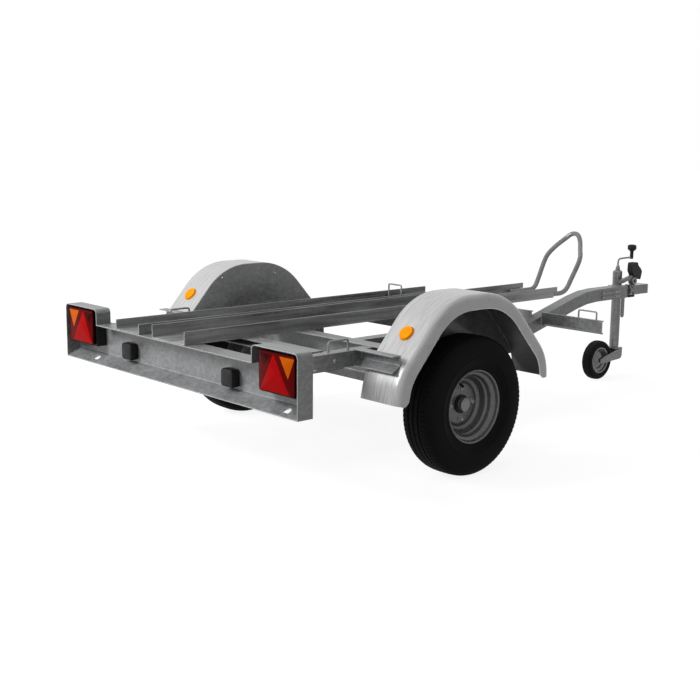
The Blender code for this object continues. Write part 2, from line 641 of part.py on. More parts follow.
def fender_sheet():
    """A grid of stations along the arch by places across it, with the sheet's inside as a second grid."""
    across = [(FENDER_INNER + 0.001, 0.0, 0.0, 1.0)]
    for k in range(4):
        angle = math.radians(30 * k)
        across.append((FENDER_OUTER - FENDER_SHOULDER + FENDER_SHOULDER * math.sin(angle),
                       FENDER_SHOULDER * (1 - math.cos(angle)), math.sin(angle), math.cos(angle)))
    across.append((FENDER_OUTER, None, 1.0, 0.0))
    extra = [FENDER_CORNER * (1 - math.cos(math.radians(angle))) for angle in (30, 50, 70, 90)]
    bm = bmesh.new()
    grids = ([], [])
    for point, out, from_end in stations(arch, arch_out, extra):
        rows = ([], [])
        for y, depth, normal_y, normal_out in across:
            if depth is None:
                short = max(0.0, FENDER_CORNER - from_end)
                depth = FENDER_SKIRT - FENDER_CORNER + math.sqrt(FENDER_CORNER ** 2 - short ** 2)
            for row, inset in zip(rows, (0.0, thin)):
                spot = point - out * (depth + normal_out * inset)
                row.append(bm.verts.new((spot.x, y - normal_y * inset, spot.y)))
        for grid, row in zip(grids, rows):
            grid.append(row)
    outer, inner = grids
    rows = len(outer)
    columns = len(across)
    for i in range(rows - 1):
        for j in range(columns - 1):
            bm.faces.new((outer[i][j], outer[i][j + 1], outer[i + 1][j + 1], outer[i + 1][j]))
            bm.faces.new((inner[i][j], inner[i + 1][j], inner[i + 1][j + 1], inner[i][j + 1]))
        for j in (0, columns - 1):
            bm.faces.new((outer[i][j], inner[i][j], inner[i + 1][j], outer[i + 1][j]))
    for i in (0, rows - 1):
        for j in range(columns - 1):
            bm.faces.new((outer[i][j], outer[i][j + 1], inner[i][j + 1], inner[i][j]))
    bmesh.ops.recalc_face_normals(bm, faces=bm.faces)
    mesh = bpy.data.meshes.new("fender")
    bm.to_mesh(mesh)
    bm.free()
    return mesh


plate_arch = offset(arch, arch_out, -thin / 2)
plate_rear, plate_front = crossing(plate_arch, INNER_PLATE_LOW)
plate_outline = [(plate_rear, INNER_PLATE_LOW)]
plate_outline += [point for point in plate_arch if point[1] > INNER_PLATE_LOW + 0.002]
plate_outline += [(plate_front, INNER_PLATE_LOW)]
inner_plate = prism(plate_outline, "Y", FENDER_INNER, FENDER_INNER + thin)
pair("fender", combine(fender_sheet(), [inner_plate], "UNION"), sheet_zinc)

# Amber reflectors on the fenders' sloping rear faces

slope = Vector((REAR_CREST_X - REAR_KNEE_X, FENDER_TOP - REAR_KNEE_Z))
along = slope.normalized()
out = Vector((-along.y, along.x))
centre = Vector((REAR_KNEE_X, REAR_KNEE_Z)) + slope * REFLECTOR_SHARE + out * GAP
reflector_y = (FENDER_INNER + FENDER_OUTER) / 2 - REFLECTOR_SHIFT
reflector_bm = bmesh.new()
bmesh.ops.create_cone(reflector_bm, cap_ends=True, segments=24, radius1=REFLECTOR_RADIUS,
                      radius2=REFLECTOR_RADIUS - 0.003, depth=0.008)
for vert in reflector_bm.verts:
    a, b, h = vert.co.x, vert.co.y, vert.co.z + 0.004
    spot = centre + along * a + out * h
    vert.co = (spot.x, reflector_y + b, spot.y)
bmesh.ops.recalc_face_normals(reflector_bm, faces=reflector_bm.faces)
reflector = bpy.data.meshes.new("reflector")
reflector_bm.to_mesh(reflector)
reflector_bm.free()
pair("reflector", reflector, amber_lens)

# Wheels

tyre_half = TYRE_WIDTH / 2
bead = RIM_RADIUS - 0.008
tyre_outline = [(bead, -0.052), (RIM_RADIUS + 0.010, -0.060), (RIM_RADIUS + 0.040, -tyre_half),
                (TYRE_RADIUS - 0.040, -tyre_half + 0.001), (TYRE_RADIUS - 0.014, -tyre_half + 0.010),
                (TYRE_RADIUS - 0.003, -tyre_half + 0.024), (TYRE_RADIUS, -0.018), (TYRE_RADIUS, 0.018),
                (TYRE_RADIUS - 0.003, tyre_half - 0.024), (TYRE_RADIUS - 0.014, tyre_half - 0.010),
                (TYRE_RADIUS - 0.040, tyre_half - 0.001), (RIM_RADIUS + 0.040, tyre_half),
                (RIM_RADIUS + 0.010, 0.060), (bead, 0.052)]
tyre_mesh = turned(tyre_outline, "Y", (0, TRACK_HALF, TYRE_RADIUS), 56)
pair("tyre", tyre_mesh, tyre_rubber)

edge_r = bead - GAP
disc_face = -DISC_INSET
rim_outline = [(edge_r, -0.0515), (edge_r, 0.0515), (edge_r + 0.001, RIM_HALF), (edge_r - 0.007, RIM_HALF),
               (edge_r - 0.010, 0.044), (edge_r - 0.022, 0.038), (edge_r - 0.026, 0.020),
               (edge_r - 0.032, 0.016), (edge_r - 0.036, disc_face), (0.084, disc_face - 0.006),
               (0.072, disc_face), (0.0, disc_face),
               (0.0, disc_face - 0.008), (0.070, disc_face - 0.008), (0.084, disc_face - 0.014),
               (edge_r - 0.030, disc_face - 0.008), (edge_r - 0.034, -0.034), (edge_r - 0.010, -0.046),
               (edge_r - 0.007, -RIM_HALF), (edge_r + 0.001, -RIM_HALF)]
rim_mesh = turned(rim_outline, "Y", (0, TRACK_HALF, TYRE_RADIUS), 32)
pair("rim", rim_mesh, rim_paint)

hub_in = stub_end + 0.006 - TRACK_HALF
hub_face = disc_face - 0.008 - GAP
bore_end = journal_end + 0.006 - TRACK_HALF
hub_outline = [(0.0, bore_end), (0.0163, bore_end), (0.0163, hub_in), (0.052, hub_in), (0.052, hub_face),
               (0.0, hub_face)]
hub = turned(hub_outline, "Y", (0, TRACK_HALF, TYRE_RADIUS), 24)
cap_face = disc_face + GAP
cap_outline = [(0.0, cap_face), (0.033, cap_face), (0.033, cap_face + 0.006), (0.027, cap_face + 0.008),
               (0.026, cap_face + 0.022), (0.022, cap_face + 0.026), (0.0, cap_face + 0.028)]
cap = turned(cap_outline, "Y", (0, TRACK_HALF, TYRE_RADIUS), 32)
pair("wheel_hub", hub, galvanised)
pair("hub_cap", cap, plated)

# Coupling: a round sleeve on the drawbar's end, a cup over the ball, a lever boss and arm, and a black grip

nose = DRAWBAR_FRONT + COUPLING_LENGTH
ball_x = nose - CUP_RADIUS
cup_top = DRAWBAR_HIGH + COUPLING_RADIUS
cup_low = DRAWBAR_HIGH - 0.020
cup_side = rounded([(DRAWBAR_FRONT + 0.060, cup_low, 0), (DRAWBAR_FRONT + 0.060, cup_top, 0),
                    (nose - 0.010, cup_top, 0.026), (nose - 0.004, cup_low + 0.005, 0),
                    (nose, cup_low + 0.005, 0), (nose, cup_low, 0)])[0]
cup = prism([tuple(spot) for spot in cup_side], "Y", -CUP_RADIUS, CUP_RADIUS)
cup_plan = [(DRAWBAR_FRONT + 0.050, COUPLING_RADIUS), (DRAWBAR_FRONT + 0.050, -COUPLING_RADIUS)]
cup_plan += [(ball_x + (CUP_RADIUS) * math.sin(math.radians(angle)), -CUP_RADIUS * math.cos(math.radians(angle)))
             for angle in range(-10, 191, 20)]
cup = combine(cup, [prism(cup_plan, "Z", cup_low - 0.01, cup_top + 0.01)], "INTERSECT")
sleeve = turned([(0.0, DRAWBAR_FRONT + GAP), (COUPLING_RADIUS - 0.002, DRAWBAR_FRONT + GAP),
                 (COUPLING_RADIUS - 0.0005, DRAWBAR_FRONT + 0.004), (COUPLING_RADIUS - 0.0005, ball_x - 0.030),
                 (0.0, ball_x - 0.030)], "X", (0, 0, DRAWBAR_HIGH), 20)
boss_x = DRAWBAR_FRONT + 0.085
boss_z = cup_top + 0.019
boss = turned([(0.008, -0.014), (0.0185, -0.014), (0.0203, -0.010), (0.0203, 0.010), (0.0185, 0.014), (0.008, 0.014)],
              "Y", (boss_x, 0, boss_z), 20)
arm_line = [(boss_x - 0.096, boss_z + 0.014), (boss_x - 0.017, boss_z + 0.0295), (boss_x - 0.012, boss_z + 0.0265),
            (boss_x + 0.014, boss_z + 0.0166), (boss_x + 0.014, boss_z + 0.006), (boss_x - 0.014, boss_z + 0.006),
            (boss_x - 0.014, boss_z + 0.011), (boss_x - 0.092, boss_z - 0.007)]
arm_plate = prism(arm_line, "Y", -0.007, 0.007)
body = combine(sleeve, [cup, boss, arm_plate], "UNION")
socket = bpy.data.meshes.new("socket")
socket_bm = bmesh.new()
bmesh.ops.create_uvsphere(socket_bm, u_segments=20, v_segments=12, radius=BALL_RADIUS + 0.0001)
bmesh.ops.translate(socket_bm, verts=socket_bm.verts, vec=(ball_x, 0, cup_low + 0.010))
socket_bm.to_mesh(socket)
socket_bm.free()
well = turned([(0.0, cup_low - 0.03), (BALL_RADIUS, cup_low - 0.03), (BALL_RADIUS, cup_low + 0.010),
               (0.0, cup_low + 0.010)], "Z", (ball_x, 0, 0), 20)
body = combine(body, [socket, well], "DIFFERENCE")
finish("coupling_body", body, plated)

grip = prism([(boss_x - 0.012, boss_z + 0.027), (boss_x + 0.046, boss_z + 0.005), (boss_x + 0.053, boss_z + 0.024),
              (boss_x + 0.058, boss_z + 0.046), (boss_x + 0.045, boss_z + 0.062), (boss_x + 0.024, boss_z + 0.078),
              (boss_x + 0.017, boss_z + 0.094), (boss_x - 0.024, boss_z + 0.094), (boss_x - 0.028, boss_z + 0.080),
              (boss_x - 0.029, boss_z + 0.052)], "Y", -0.015, 0.015)
finish("coupling_lever", grip, black_plastic)

# Jockey wheel: outer tube, clamp and its flat handle on the drawbar's left, inner leg, castor fork and wheel

jockey_x = DRAWBAR_FRONT + JOCKEY_AHEAD
tube_low = LEG_LOW + LEG_CLEARANCE
tube_wall = 0.003
tube_outline = [(JOCKEY_TUBE - tube_wall, tube_low), (JOCKEY_TUBE, tube_low), (JOCKEY_TUBE, JOCKEY_TOP),
                (0.014, JOCKEY_TOP + 0.008), (0.0, JOCKEY_TOP + 0.008), (0.0, JOCKEY_TOP - 0.002),
                (JOCKEY_TUBE - tube_wall, JOCKEY_TOP - 0.004)]
outer_tube = turned(tube_outline, "Z", (jockey_x, JOCKEY_Y, 0), 24)
clamp_inner = half + GAP
clamp_top = DRAWBAR_HIGH + 0.022
clamp_low = DRAWBAR_HIGH - 0.018
bore = turned([(0.0, clamp_low - 0.05), (JOCKEY_TUBE - 0.001, clamp_low - 0.05),
               (JOCKEY_TUBE - 0.001, clamp_top + 0.05), (0.0, clamp_top + 0.05)], "Z",
              (jockey_x, JOCKEY_Y, 0), 24)
clamp = block(jockey_x - JOCKEY_TUBE - 0.010, jockey_x + JOCKEY_TUBE + 0.010, clamp_inner,
              JOCKEY_Y + JOCKEY_TUBE + 0.006, clamp_low, clamp_top)
clamp_plate = block(jockey_x - CLAMP_PLATE_LENGTH, jockey_x, clamp_inner, clamp_inner + 0.005,
                    clamp_low + 0.004, clamp_top - 0.004)
clamp_handle = prism(soft_box(jockey_x + 0.029, jockey_x + 0.053, LEG_LOW * 2, clamp_top - 0.001, 0.011), "Y",
                     JOCKEY_Y - 0.015, JOCKEY_Y - 0.010)
clamp = combine(combine(clamp, [clamp_plate, clamp_handle], "UNION"), [bore], "DIFFERENCE")
finish("jockey_tube", combine(outer_tube, [clamp], "UNION"), plated)

leg_r = JOCKEY_TUBE - tube_wall - 0.0008
leg_outline = [(0.0, LEG_LOW + GAP), (leg_r, LEG_LOW + GAP), (leg_r, JOCKEY_TOP - 0.130),
               (0.0, JOCKEY_TOP - 0.130)]
finish("jockey_leg", turned(leg_outline, "Z", (jockey_x, JOCKEY_Y, 0), 24), plated)

wheel_x = jockey_x - JOCKEY_TRAIL
fork_half = JOCKEY_WIDTH / 2 + 0.006
fork_front = jockey_x + JOCKEY_TUBE
crown_rear = wheel_x + JOCKEY_RADIUS + 0.008
crown = block(crown_rear, fork_front, JOCKEY_Y - fork_half - FORK_SHEET / 2, JOCKEY_Y + fork_half + FORK_SHEET / 2,
              LEG_LOW - FORK_SHEET, LEG_LOW)
front_web = block(fork_front - FORK_SHEET, fork_front, JOCKEY_Y - fork_half - FORK_SHEET / 2,
                  JOCKEY_Y + fork_half + FORK_SHEET / 2, JOCKEY_RADIUS + 0.006, LEG_LOW - FORK_SHEET / 2)
cheek_side = rounded([(fork_front, LEG_LOW, 0), (wheel_x + 0.020, JOCKEY_RADIUS + 0.018, 0.020),
                      (wheel_x - 0.014, JOCKEY_RADIUS + 0.006, 0), (wheel_x - 0.014, JOCKEY_RADIUS - 0.012, 0),
                      (wheel_x + 0.020, JOCKEY_RADIUS - 0.014, 0), (fork_front - 0.070, JOCKEY_RADIUS - 0.010, 0),
                      (fork_front - 0.002, JOCKEY_RADIUS - 0.006, 0.020), (fork_front, LEG_LOW - 0.020, 0)])[0]
cheeks = []
for side in (-1, 1):
    near = JOCKEY_Y + side * fork_half
    far = JOCKEY_Y + side * (fork_half + FORK_SHEET)
    cheeks.append(prism([tuple(spot) for spot in cheek_side], "Y", min(near, far), max(near, far)))
pin = turned([(0.0, -fork_half - 0.002), (0.006, -fork_half - 0.002), (0.006, fork_half + 0.002),
              (0.0, fork_half + 0.002)], "Y", (wheel_x, JOCKEY_Y, JOCKEY_RADIUS), 16)
finish("jockey_fork", combine(crown, [front_web] + cheeks + [pin], "UNION"), plated)

jockey_half = JOCKEY_WIDTH / 2
disc_r = 0.066
jockey_tyre = turned([(disc_r, -jockey_half + 0.002), (JOCKEY_RADIUS - 0.010, -jockey_half),
                      (JOCKEY_RADIUS, -jockey_half + 0.010), (JOCKEY_RADIUS, jockey_half - 0.010),
                      (JOCKEY_RADIUS - 0.010, jockey_half), (disc_r, jockey_half - 0.002)],
                     "Y", (wheel_x, JOCKEY_Y, JOCKEY_RADIUS), 40)
finish("jockey_tyre", jockey_tyre, tyre_rubber)
disc = turned([(0.0065, -jockey_half + 0.001), (0.018, -jockey_half + 0.002), (0.030, -0.015), (0.046, -0.007),
               (0.058, -0.012), (0.060, -jockey_half + 0.003), (disc_r - GAP, -jockey_half + 0.002),
               (disc_r - GAP, jockey_half - 0.002), (0.060, jockey_half - 0.003), (0.058, 0.012),
               (0.046, 0.007), (0.030, 0.015), (0.018, jockey_half - 0.002), (0.0065, jockey_half - 0.001)],
              "Y", (wheel_x, JOCKEY_Y, JOCKEY_RADIUS), 28)
finish("jockey_disc", disc, plated)

crank_base = JOCKEY_TOP + 0.008 + GAP
crank_z = JOCKEY_TOP + 0.064
collar = turned([(0.0, crank_base), (0.011, crank_base), (0.011, crank_base + 0.018), (0.008, crank_base + 0.023),
                 (0.0, crank_base + 0.023)], "Z", (jockey_x, JOCKEY_Y, 0), 16)
crank = rod([(jockey_x, JOCKEY_Y, crank_base + 0.020), (jockey_x, JOCKEY_Y, crank_z),
             (jockey_x + CRANK_REACH, JOCKEY_Y, crank_z + 0.006)], 0.0045, 12, 0.020)
knob = turned([(0.0, 0.0), (0.006, 0.0), (0.0095, 0.006), (0.0085, 0.037), (0.020, 0.040), (0.022, 0.044),
               (0.022, 0.058), (0.018, 0.064), (0.0, 0.066)],
              "Z", (jockey_x + CRANK_REACH, JOCKEY_Y, crank_z + 0.001), 20)
finish("jockey_crank", combine(crank, [collar, knob], "UNION"), plated)

# The whole trailer is centred on its length

spread = [vert.co.x + item.location.x for item in trailer.objects for vert in item.data.vertices]
middle_x = (min(spread) + max(spread)) / 2
lowest = min(vert.co.z for item in trailer.objects for vert in item.data.vertices)
for item in trailer.objects:
    for vert in item.data.vertices:
        vert.co.x -= middle_x
        vert.co.z -= lowest


def set_origin(name, x, y, z):
    item = bpy.data.objects[name]
    place = Vector((x - middle_x, y, z - lowest))
    for vert in item.data.vertices:
        vert.co -= place
    item.location = place


for side, y_sign in (("left", 1), ("right", -1)):
    for stem in ("tyre", "rim", "wheel_hub", "hub_cap"):
        set_origin(stem + "_" + side, 0, y_sign * TRACK_HALF, TYRE_RADIUS)
for name in ("jockey_leg", "jockey_fork"):
    set_origin(name, jockey_x, JOCKEY_Y, LEG_LOW)
for name in ("jockey_tyre", "jockey_disc"):
    set_origin(name, wheel_x, JOCKEY_Y, JOCKEY_RADIUS)

print("centre shift", round(middle_x, 5), "lowest", round(lowest, 5))
print("axle x", round(-middle_x, 5), "jockey x", round(jockey_x - middle_x, 5),
      "jockey wheel x", round(wheel_x - middle_x, 5))
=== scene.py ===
import json
import math

import bpy
import numpy as np
from mathutils import Matrix, Vector


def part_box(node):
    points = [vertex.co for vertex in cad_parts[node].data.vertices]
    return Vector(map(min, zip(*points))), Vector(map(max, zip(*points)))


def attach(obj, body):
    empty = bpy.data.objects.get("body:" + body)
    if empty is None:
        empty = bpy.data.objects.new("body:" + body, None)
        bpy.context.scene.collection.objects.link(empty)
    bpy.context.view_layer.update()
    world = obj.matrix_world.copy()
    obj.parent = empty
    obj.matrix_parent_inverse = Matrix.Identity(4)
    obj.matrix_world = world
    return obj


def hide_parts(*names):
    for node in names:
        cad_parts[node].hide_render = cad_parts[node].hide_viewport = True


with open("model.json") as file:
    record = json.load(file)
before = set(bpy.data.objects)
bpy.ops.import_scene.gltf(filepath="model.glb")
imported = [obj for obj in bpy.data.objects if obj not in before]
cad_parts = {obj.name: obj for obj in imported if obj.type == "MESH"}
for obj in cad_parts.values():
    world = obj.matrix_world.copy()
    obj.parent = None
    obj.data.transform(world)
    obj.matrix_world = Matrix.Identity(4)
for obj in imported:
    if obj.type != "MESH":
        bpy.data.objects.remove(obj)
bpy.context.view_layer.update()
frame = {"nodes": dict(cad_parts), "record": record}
nodes = frame["nodes"]
axleX = -0.6395  # the road axle in the frame's coordinates
print("frame loaded,", len(nodes), "nodes")

# Camera at the photograph's angle

photoView = {"lens": 59.47, "sensor": 36, "nearest": 0.05, "place": (-3.6635, -3.385, 1.182),
             "azimuth": -42.19, "elevation": 10.26, "roll": 0.60}


def aimCamera(view):
    # back points from the object to the camera; the roll turns right and up about it
    azimuth, elevation, roll = (math.radians(view[key]) for key in ("azimuth", "elevation", "roll"))
    back = Vector((math.sin(azimuth) * math.cos(elevation), -math.cos(azimuth) * math.cos(elevation),
                   math.sin(elevation)))
    right = (-back).cross(Vector((0, 0, 1))).normalized()
    up = right.cross(-back)
    turnedRight = right * math.cos(roll) + up * math.sin(roll)
    turnedUp = up * math.cos(roll) - right * math.sin(roll)
    lens = bpy.data.cameras.new("photoCamera")
    lens.lens = view["lens"]
    lens.sensor_width = view["sensor"]
    lens.clip_start = view["nearest"]
    camera = bpy.data.objects.new("photoCamera", lens)
    bpy.context.scene.collection.objects.link(camera)
    axes = Matrix((turnedRight, turnedUp, back)).transposed().to_4x4()
    camera.matrix_world = Matrix.Translation(view["place"]) @ axes
    bpy.context.scene.camera = camera


aimCamera(photoView)
bpy.context.scene.view_settings.view_transform = "Standard"
print("camera placed")


class Wire:
    # wraps a shader socket so that Python arithmetic adds the Math nodes
    def __init__(self, tree, socket):
        self.tree = tree
        self.socket = socket

    def node(self, kind, settings=None, sockets=None, output=0):
        # any node: its settings first, then the sockets' values or links
        step = self.tree.nodes.new(kind)
        for key, value in (settings or {}).items():
            setattr(step, key, value)
        for key, value in (sockets or {}).items():
            if isinstance(value, Wire):
                self.tree.links.new(value.socket, step.inputs[key])
            else:
                step.inputs[key].default_value = value
        return Wire(self.tree, step.outputs[output])

    def maths(self, operation, first, second=0.0):
        return self.node("ShaderNodeMath", {"operation": operation}, {0: first, 1: second})

    def __add__(self, other):
        return self.maths("ADD", self, other)

    def __radd__(self, other):
        return self.maths("ADD", other, self)

    def __sub__(self, other):
        return self.maths("SUBTRACT", self, other)

    def __rsub__(self, other):
        return self.maths("SUBTRACT", other, self)

    def __mul__(self, other):
        return self.maths("MULTIPLY", self, other)

    def __rmul__(self, other):
        return self.maths("MULTIPLY", other, self)

    def __truediv__(self, other):
        return self.maths("DIVIDE", self, other)

    def __rtruediv__(self, other):
        return self.maths("DIVIDE", other, self)

    def above(self, level):
        return self.maths("GREATER_THAN", self, level)

    def sine(self):
        return self.maths("SINE", self)

    def absolute(self):
        return self.maths("ABSOLUTE", self)

    def stretched(self, scale):
        # a place with each of its coordinates times scale
        return self.node("ShaderNodeVectorMath", {"operation": "MULTIPLY"}, {0: self, 1: scale})

    def dot(self, other):
        return self.node("ShaderNodeVectorMath", {"operation": "DOT_PRODUCT"}, {0: self, 1: other}, output=1)

    def parts(self):
        return [self.node("ShaderNodeSeparateXYZ", {}, {0: self}, output=k) for k in range(3)]

    def noise(self, scale, detail):
        return self.node("ShaderNodeTexNoise", {}, {"Vector": self, "Scale": scale, "Detail": detail})

    def cells(self, scale):
        # one grey per cell, as zinc spangle has
        colour = self.node("ShaderNodeTexVoronoi", {}, {"Vector": self, "Scale": scale}, output=1)
        return self.node("ShaderNodeSeparateColor", {}, {0: colour})

    def mix(self, dark, pale):
        # a colour between dark and pale by this value
        ends = [end if isinstance(end, Wire) else (*end, 1.0) for end in (dark, pale)]
        return self.node("ShaderNodeMix", {"data_type": "RGBA", "clamp_factor": True},
                         {0: self, 6: ends[0], 7: ends[1]}, output=2)


def newFinish(name):
    # a material with its Principled shader, and a Wire on the Object coordinates to start from
    made = bpy.data.materials.new(name)
    made.use_nodes = True
    tree = made.node_tree
    shader = tree.nodes["Principled BSDF"]
    place = Wire(tree, tree.nodes.new("ShaderNodeTexCoord").outputs["Object"])
    return made, shader, place


def feed(shader, **inputs):
    # base_color=... becomes Base Color; a Wire is linked and anything else is the socket's own value
    for key, value in inputs.items():
        socket = shader.inputs[key.replace("_", " ").title().replace("Ior", "IOR")]
        if isinstance(value, Wire):
            value.tree.links.new(value.socket, socket)
        else:
            socket.default_value = value


def relief(height, strength, distance, bevel=0.0):
    # a bump from height, over a bevelled normal where the piece has sharp edges
    sockets = {"Strength": strength, "Distance": distance, "Height": height}
    if bevel:
        sockets["Normal"] = height.node("ShaderNodeBevel", {"samples": 4}, {"Radius": bevel})
    return height.node("ShaderNodeBump", {}, sockets)


def edgeWearAndHighlight(place, radius, gain):
    # wear and painted highlight = gain * (1 - bevelled normal . own normal), which is 0 on flats and more at
    # edges; the pale edge colour stands for both edge wear and painted edge highlights
    rounded = place.node("ShaderNodeBevel", {"samples": 4}, {"Radius": radius})
    own = place.node("ShaderNodeNewGeometry", output=1)
    return (1 - rounded.dot(own)) * gain


# Studio: the sky is bright behind and above the left side, so the near side stays darker

studio = {"skyDim": 0.10, "skyBright": 0.95, "skyFrom": (-0.80, 0.30, 0.52), "skyWrap": 0.25,
          "floorSeen": 0.66, "floorGlow": 1.32, "floorShown": 0.80, "floorBounce": 0.22, "floorHalf": 40.0}
lamps = {"keyLamp": {"place": (-3.9, 1.2, 2.6), "target": (-0.3, 0, 0.3), "size": 1.6, "power": 130},
         "fillLamp": {"place": (-2.6, -3.6, 1.0), "target": (0, 0, 0.3), "size": 1.6, "power": 2}}


def lamp(name, place, target, size, power):
    # a round area lamp that faces its target
    light = bpy.data.lights.new(name, "AREA")
    light.shape = "DISK"
    light.size = size
    light.energy = power
    holder = bpy.data.objects.new(name, light)
    holder.location = place
    holder.rotation_euler = (Vector(target) - Vector(place)).to_track_quat("-Z", "Y").to_euler()
    bpy.context.scene.collection.objects.link(holder)


def seenRays(tree):
    # 1 for camera, glossy and transmission rays, which see the white backdrop itself
    path = tree.nodes.new("ShaderNodeLightPath")
    names = ("Is Camera Ray", "Is Glossy Ray", "Is Transmission Ray")
    kinds = [Wire(tree, path.outputs[name]) for name in names]
    return (kinds[0] + kinds[1] + kinds[2]).above(0.5)


def makeStudio(values):
    # sky(way) = skyDim + (skyBright - skyDim) * max(0, (way . skyFrom + wrap) / (1 + wrap))
    world = bpy.data.worlds.new("studioWorld")
    world.use_nodes = True
    tree = world.node_tree
    way = Wire(tree, tree.nodes.new("ShaderNodeTexCoord").outputs["Generated"])
    facing = (way.dot(values["skyFrom"]) + values["skyWrap"]) / (1 + values["skyWrap"])
    sky = facing.maths("MAXIMUM", facing, 0.0) * (values["skyBright"] - values["skyDim"]) + values["skyDim"]
    seen = seenRays(tree)
    shown = seen + (1 - seen) * sky
    backdrop = tree.nodes["Background"]
    tree.links.new(shown.socket, backdrop.inputs["Strength"])
    backdrop.inputs["Color"].default_value = (1, 1, 1, 1)
    bpy.context.scene.world = world

    square = np.array([[-1, -1], [1, -1], [1, 1], [-1, 1]])
    corners = np.column_stack([square * values["floorHalf"], np.zeros(4)])
    mesh = bpy.data.meshes.new("floor")
    mesh.from_pydata(corners.tolist(), [], [[0, 1, 2, 3]])
    floor = bpy.data.objects.new("floor", mesh)
    bpy.context.scene.collection.objects.link(floor)
    made, shader, _ = newFinish("floorPaint")
    tree = made.node_tree
    seen = seenRays(tree)
    shade = seen * (values["floorShown"] - values["floorBounce"]) + values["floorBounce"]
    feed(shader, base_color=shade.mix((0, 0, 0), (1, 1, 1)), roughness=0.9, specular_ior_level=0.0)
    glow = seen.node("ShaderNodeEmission", {}, {"Color": (1, 1, 1, 1), "Strength": values["floorGlow"]})
    mixed = seen.node("ShaderNodeMixShader", {}, {0: seen * values["floorSeen"],
                                                  1: Wire(tree, shader.outputs[0]), 2: glow})
    tree.links.new(mixed.socket, tree.nodes["Material Output"].inputs["Surface"])
    mesh.materials.append(made)


makeStudio(studio)
for name, values in lamps.items():
    lamp(name, **values)
print("studio made")

# Finishes

# the pale edge colour of galvanised, drawn and plated steel is edge wear and a painted highlight along the edges
steelLooks = {
    "galvanised": {"dark": (0.12, 0.122, 0.125), "pale": (0.27, 0.273, 0.277), "wearAndHighlight": (0.62, 0.63, 0.64),
                   "spangle": 85.0, "grain": (3.0, 3.0, 26.0), "shares": (0.2, 0.45, 0.35), "metallic": 0.25,
                   "rough": 0.40, "bevel": 0.0016, "relief": 0.12},
    "drawn": {"dark": (0.085, 0.086, 0.088), "pale": (0.40, 0.403, 0.408), "wearAndHighlight": (0.70, 0.70, 0.70),
              "spangle": 85.0, "grain": (0.35, 3.0, 6.0), "shares": (0.04, 0.16, 0.80), "metallic": 0.30,
              "rough": 0.34, "bevel": 0.0014, "relief": 0.05},
    "sheetZinc": {"dark": (0.37, 0.371, 0.373), "pale": (0.50, 0.501, 0.503), "spangle": 400.0,
                  "grain": (1.2, 14.0, 1.2), "shares": (0.02, 0.28, 0.70), "metallic": 0.20,
                  "rough": 0.30, "bevel": 0.0, "relief": 0.02},
    # painted highlight: the rolled edge is a much paler copy of the fender's sheet zinc
    "rolledEdgeHighlight": {"dark": (0.74, 0.742, 0.745), "pale": (0.86, 0.86, 0.86), "spangle": 400.0,
                   "grain": (3.0, 14.0, 3.0), "shares": (0.02, 0.38, 0.60), "metallic": 0.20,
                   "rough": 0.26, "bevel": 0.0, "relief": 0.02},
    # painted shade: a dark copy of the zinc for the lining under the fender
    "shadedInnerZinc": {"dark": (0.030, 0.031, 0.033), "pale": (0.100, 0.102, 0.105), "spangle": 60.0,
                  "grain": (8.0, 8.0, 8.0), "shares": (0.1, 0.55, 0.35), "metallic": 0.10,
                  "rough": 0.60, "bevel": 0.0, "relief": 0.10},
    "plated": {"dark": (0.10, 0.101, 0.102), "pale": (0.27, 0.27, 0.268), "wearAndHighlight": (0.75, 0.75, 0.75),
               "spangle": 160.0, "grain": (12.0, 12.0, 12.0), "shares": (0.1, 0.55, 0.35), "metallic": 0.35,
               "rough": 0.24, "bevel": 0.0010, "relief": 0.10},
    "rimPaint": {"dark": (0.070, 0.0705, 0.071), "pale": (0.160, 0.161, 0.162), "spangle": 240.0,
                 "grain": (9.0, 9.0, 9.0), "shares": (0.05, 0.60, 0.35), "metallic": 0.20,
                 "rough": 0.28, "bevel": 0.0, "relief": 0.06}}
steelGrain = {"cloudScale": 7.0, "cloudDetail": 5.0, "grainScale": 9.0, "grainDetail": 6.0, "contrast": 2.2,
              "roughSwing": 0.22, "depth": 0.0008, "highlightWearReach": 1.5, "highlightWearGain": 6.0}


def steelFinish(name, values, shared):
    # shade = spangle, cloud and drawn grain, each times its share; spread widens it about a half
    made, shader, place = newFinish(name + "Finish")
    spangle = place.cells(values["spangle"])
    cloud = place.noise(shared["cloudScale"], shared["cloudDetail"])
    grain = place.stretched(values["grain"]).noise(shared["grainScale"], shared["grainDetail"])
    shares = values["shares"]
    shade = spangle * shares[0] + cloud * shares[1] + grain * shares[2]
    spread = (shade - 0.5) * shared["contrast"] + 0.5
    base = spread.mix(values["dark"], values["pale"])
    # edges take the pale edge colour: edge wear and a painted highlight
    if values["bevel"]:
        wearAndHighlight = edgeWearAndHighlight(place, values["bevel"] * shared["highlightWearReach"], shared["highlightWearGain"])
        base = wearAndHighlight.mix(base, values["wearAndHighlight"])
    smoothest = values["rough"] - shared["roughSwing"] / 2
    feed(shader, base_color=base, metallic=values["metallic"],
         roughness=spread * shared["roughSwing"] + smoothest,
         normal=relief(shade, values["relief"], shared["depth"], values["bevel"]))
    return made


mattLooks = {
    "rubber": {"dark": (0.0032, 0.0032, 0.0033), "pale": (0.0075, 0.0075, 0.0077), "scale": 60.0, "rough": 0.72,
               "specular": 0.06, "grit": 0.35},
    "plastic": {"dark": (0.006, 0.006, 0.0063), "pale": (0.013, 0.013, 0.0135), "scale": 300.0, "rough": 0.52,
                "specular": 0.20, "grit": 0.30},
    "wheelRubber": {"dark": (0.005, 0.005, 0.005), "pale": (0.030, 0.030, 0.030), "scale": 45.0, "rough": 0.75,
                    "specular": 0.06, "grit": 0.25}}
mattGrain = {"coarser": 6, "cloudDetail": 4.0, "finer": 4, "grainDetail": 2.0, "contrast": 1.6,
             "roughSwing": 0.14, "depth": 0.0005}


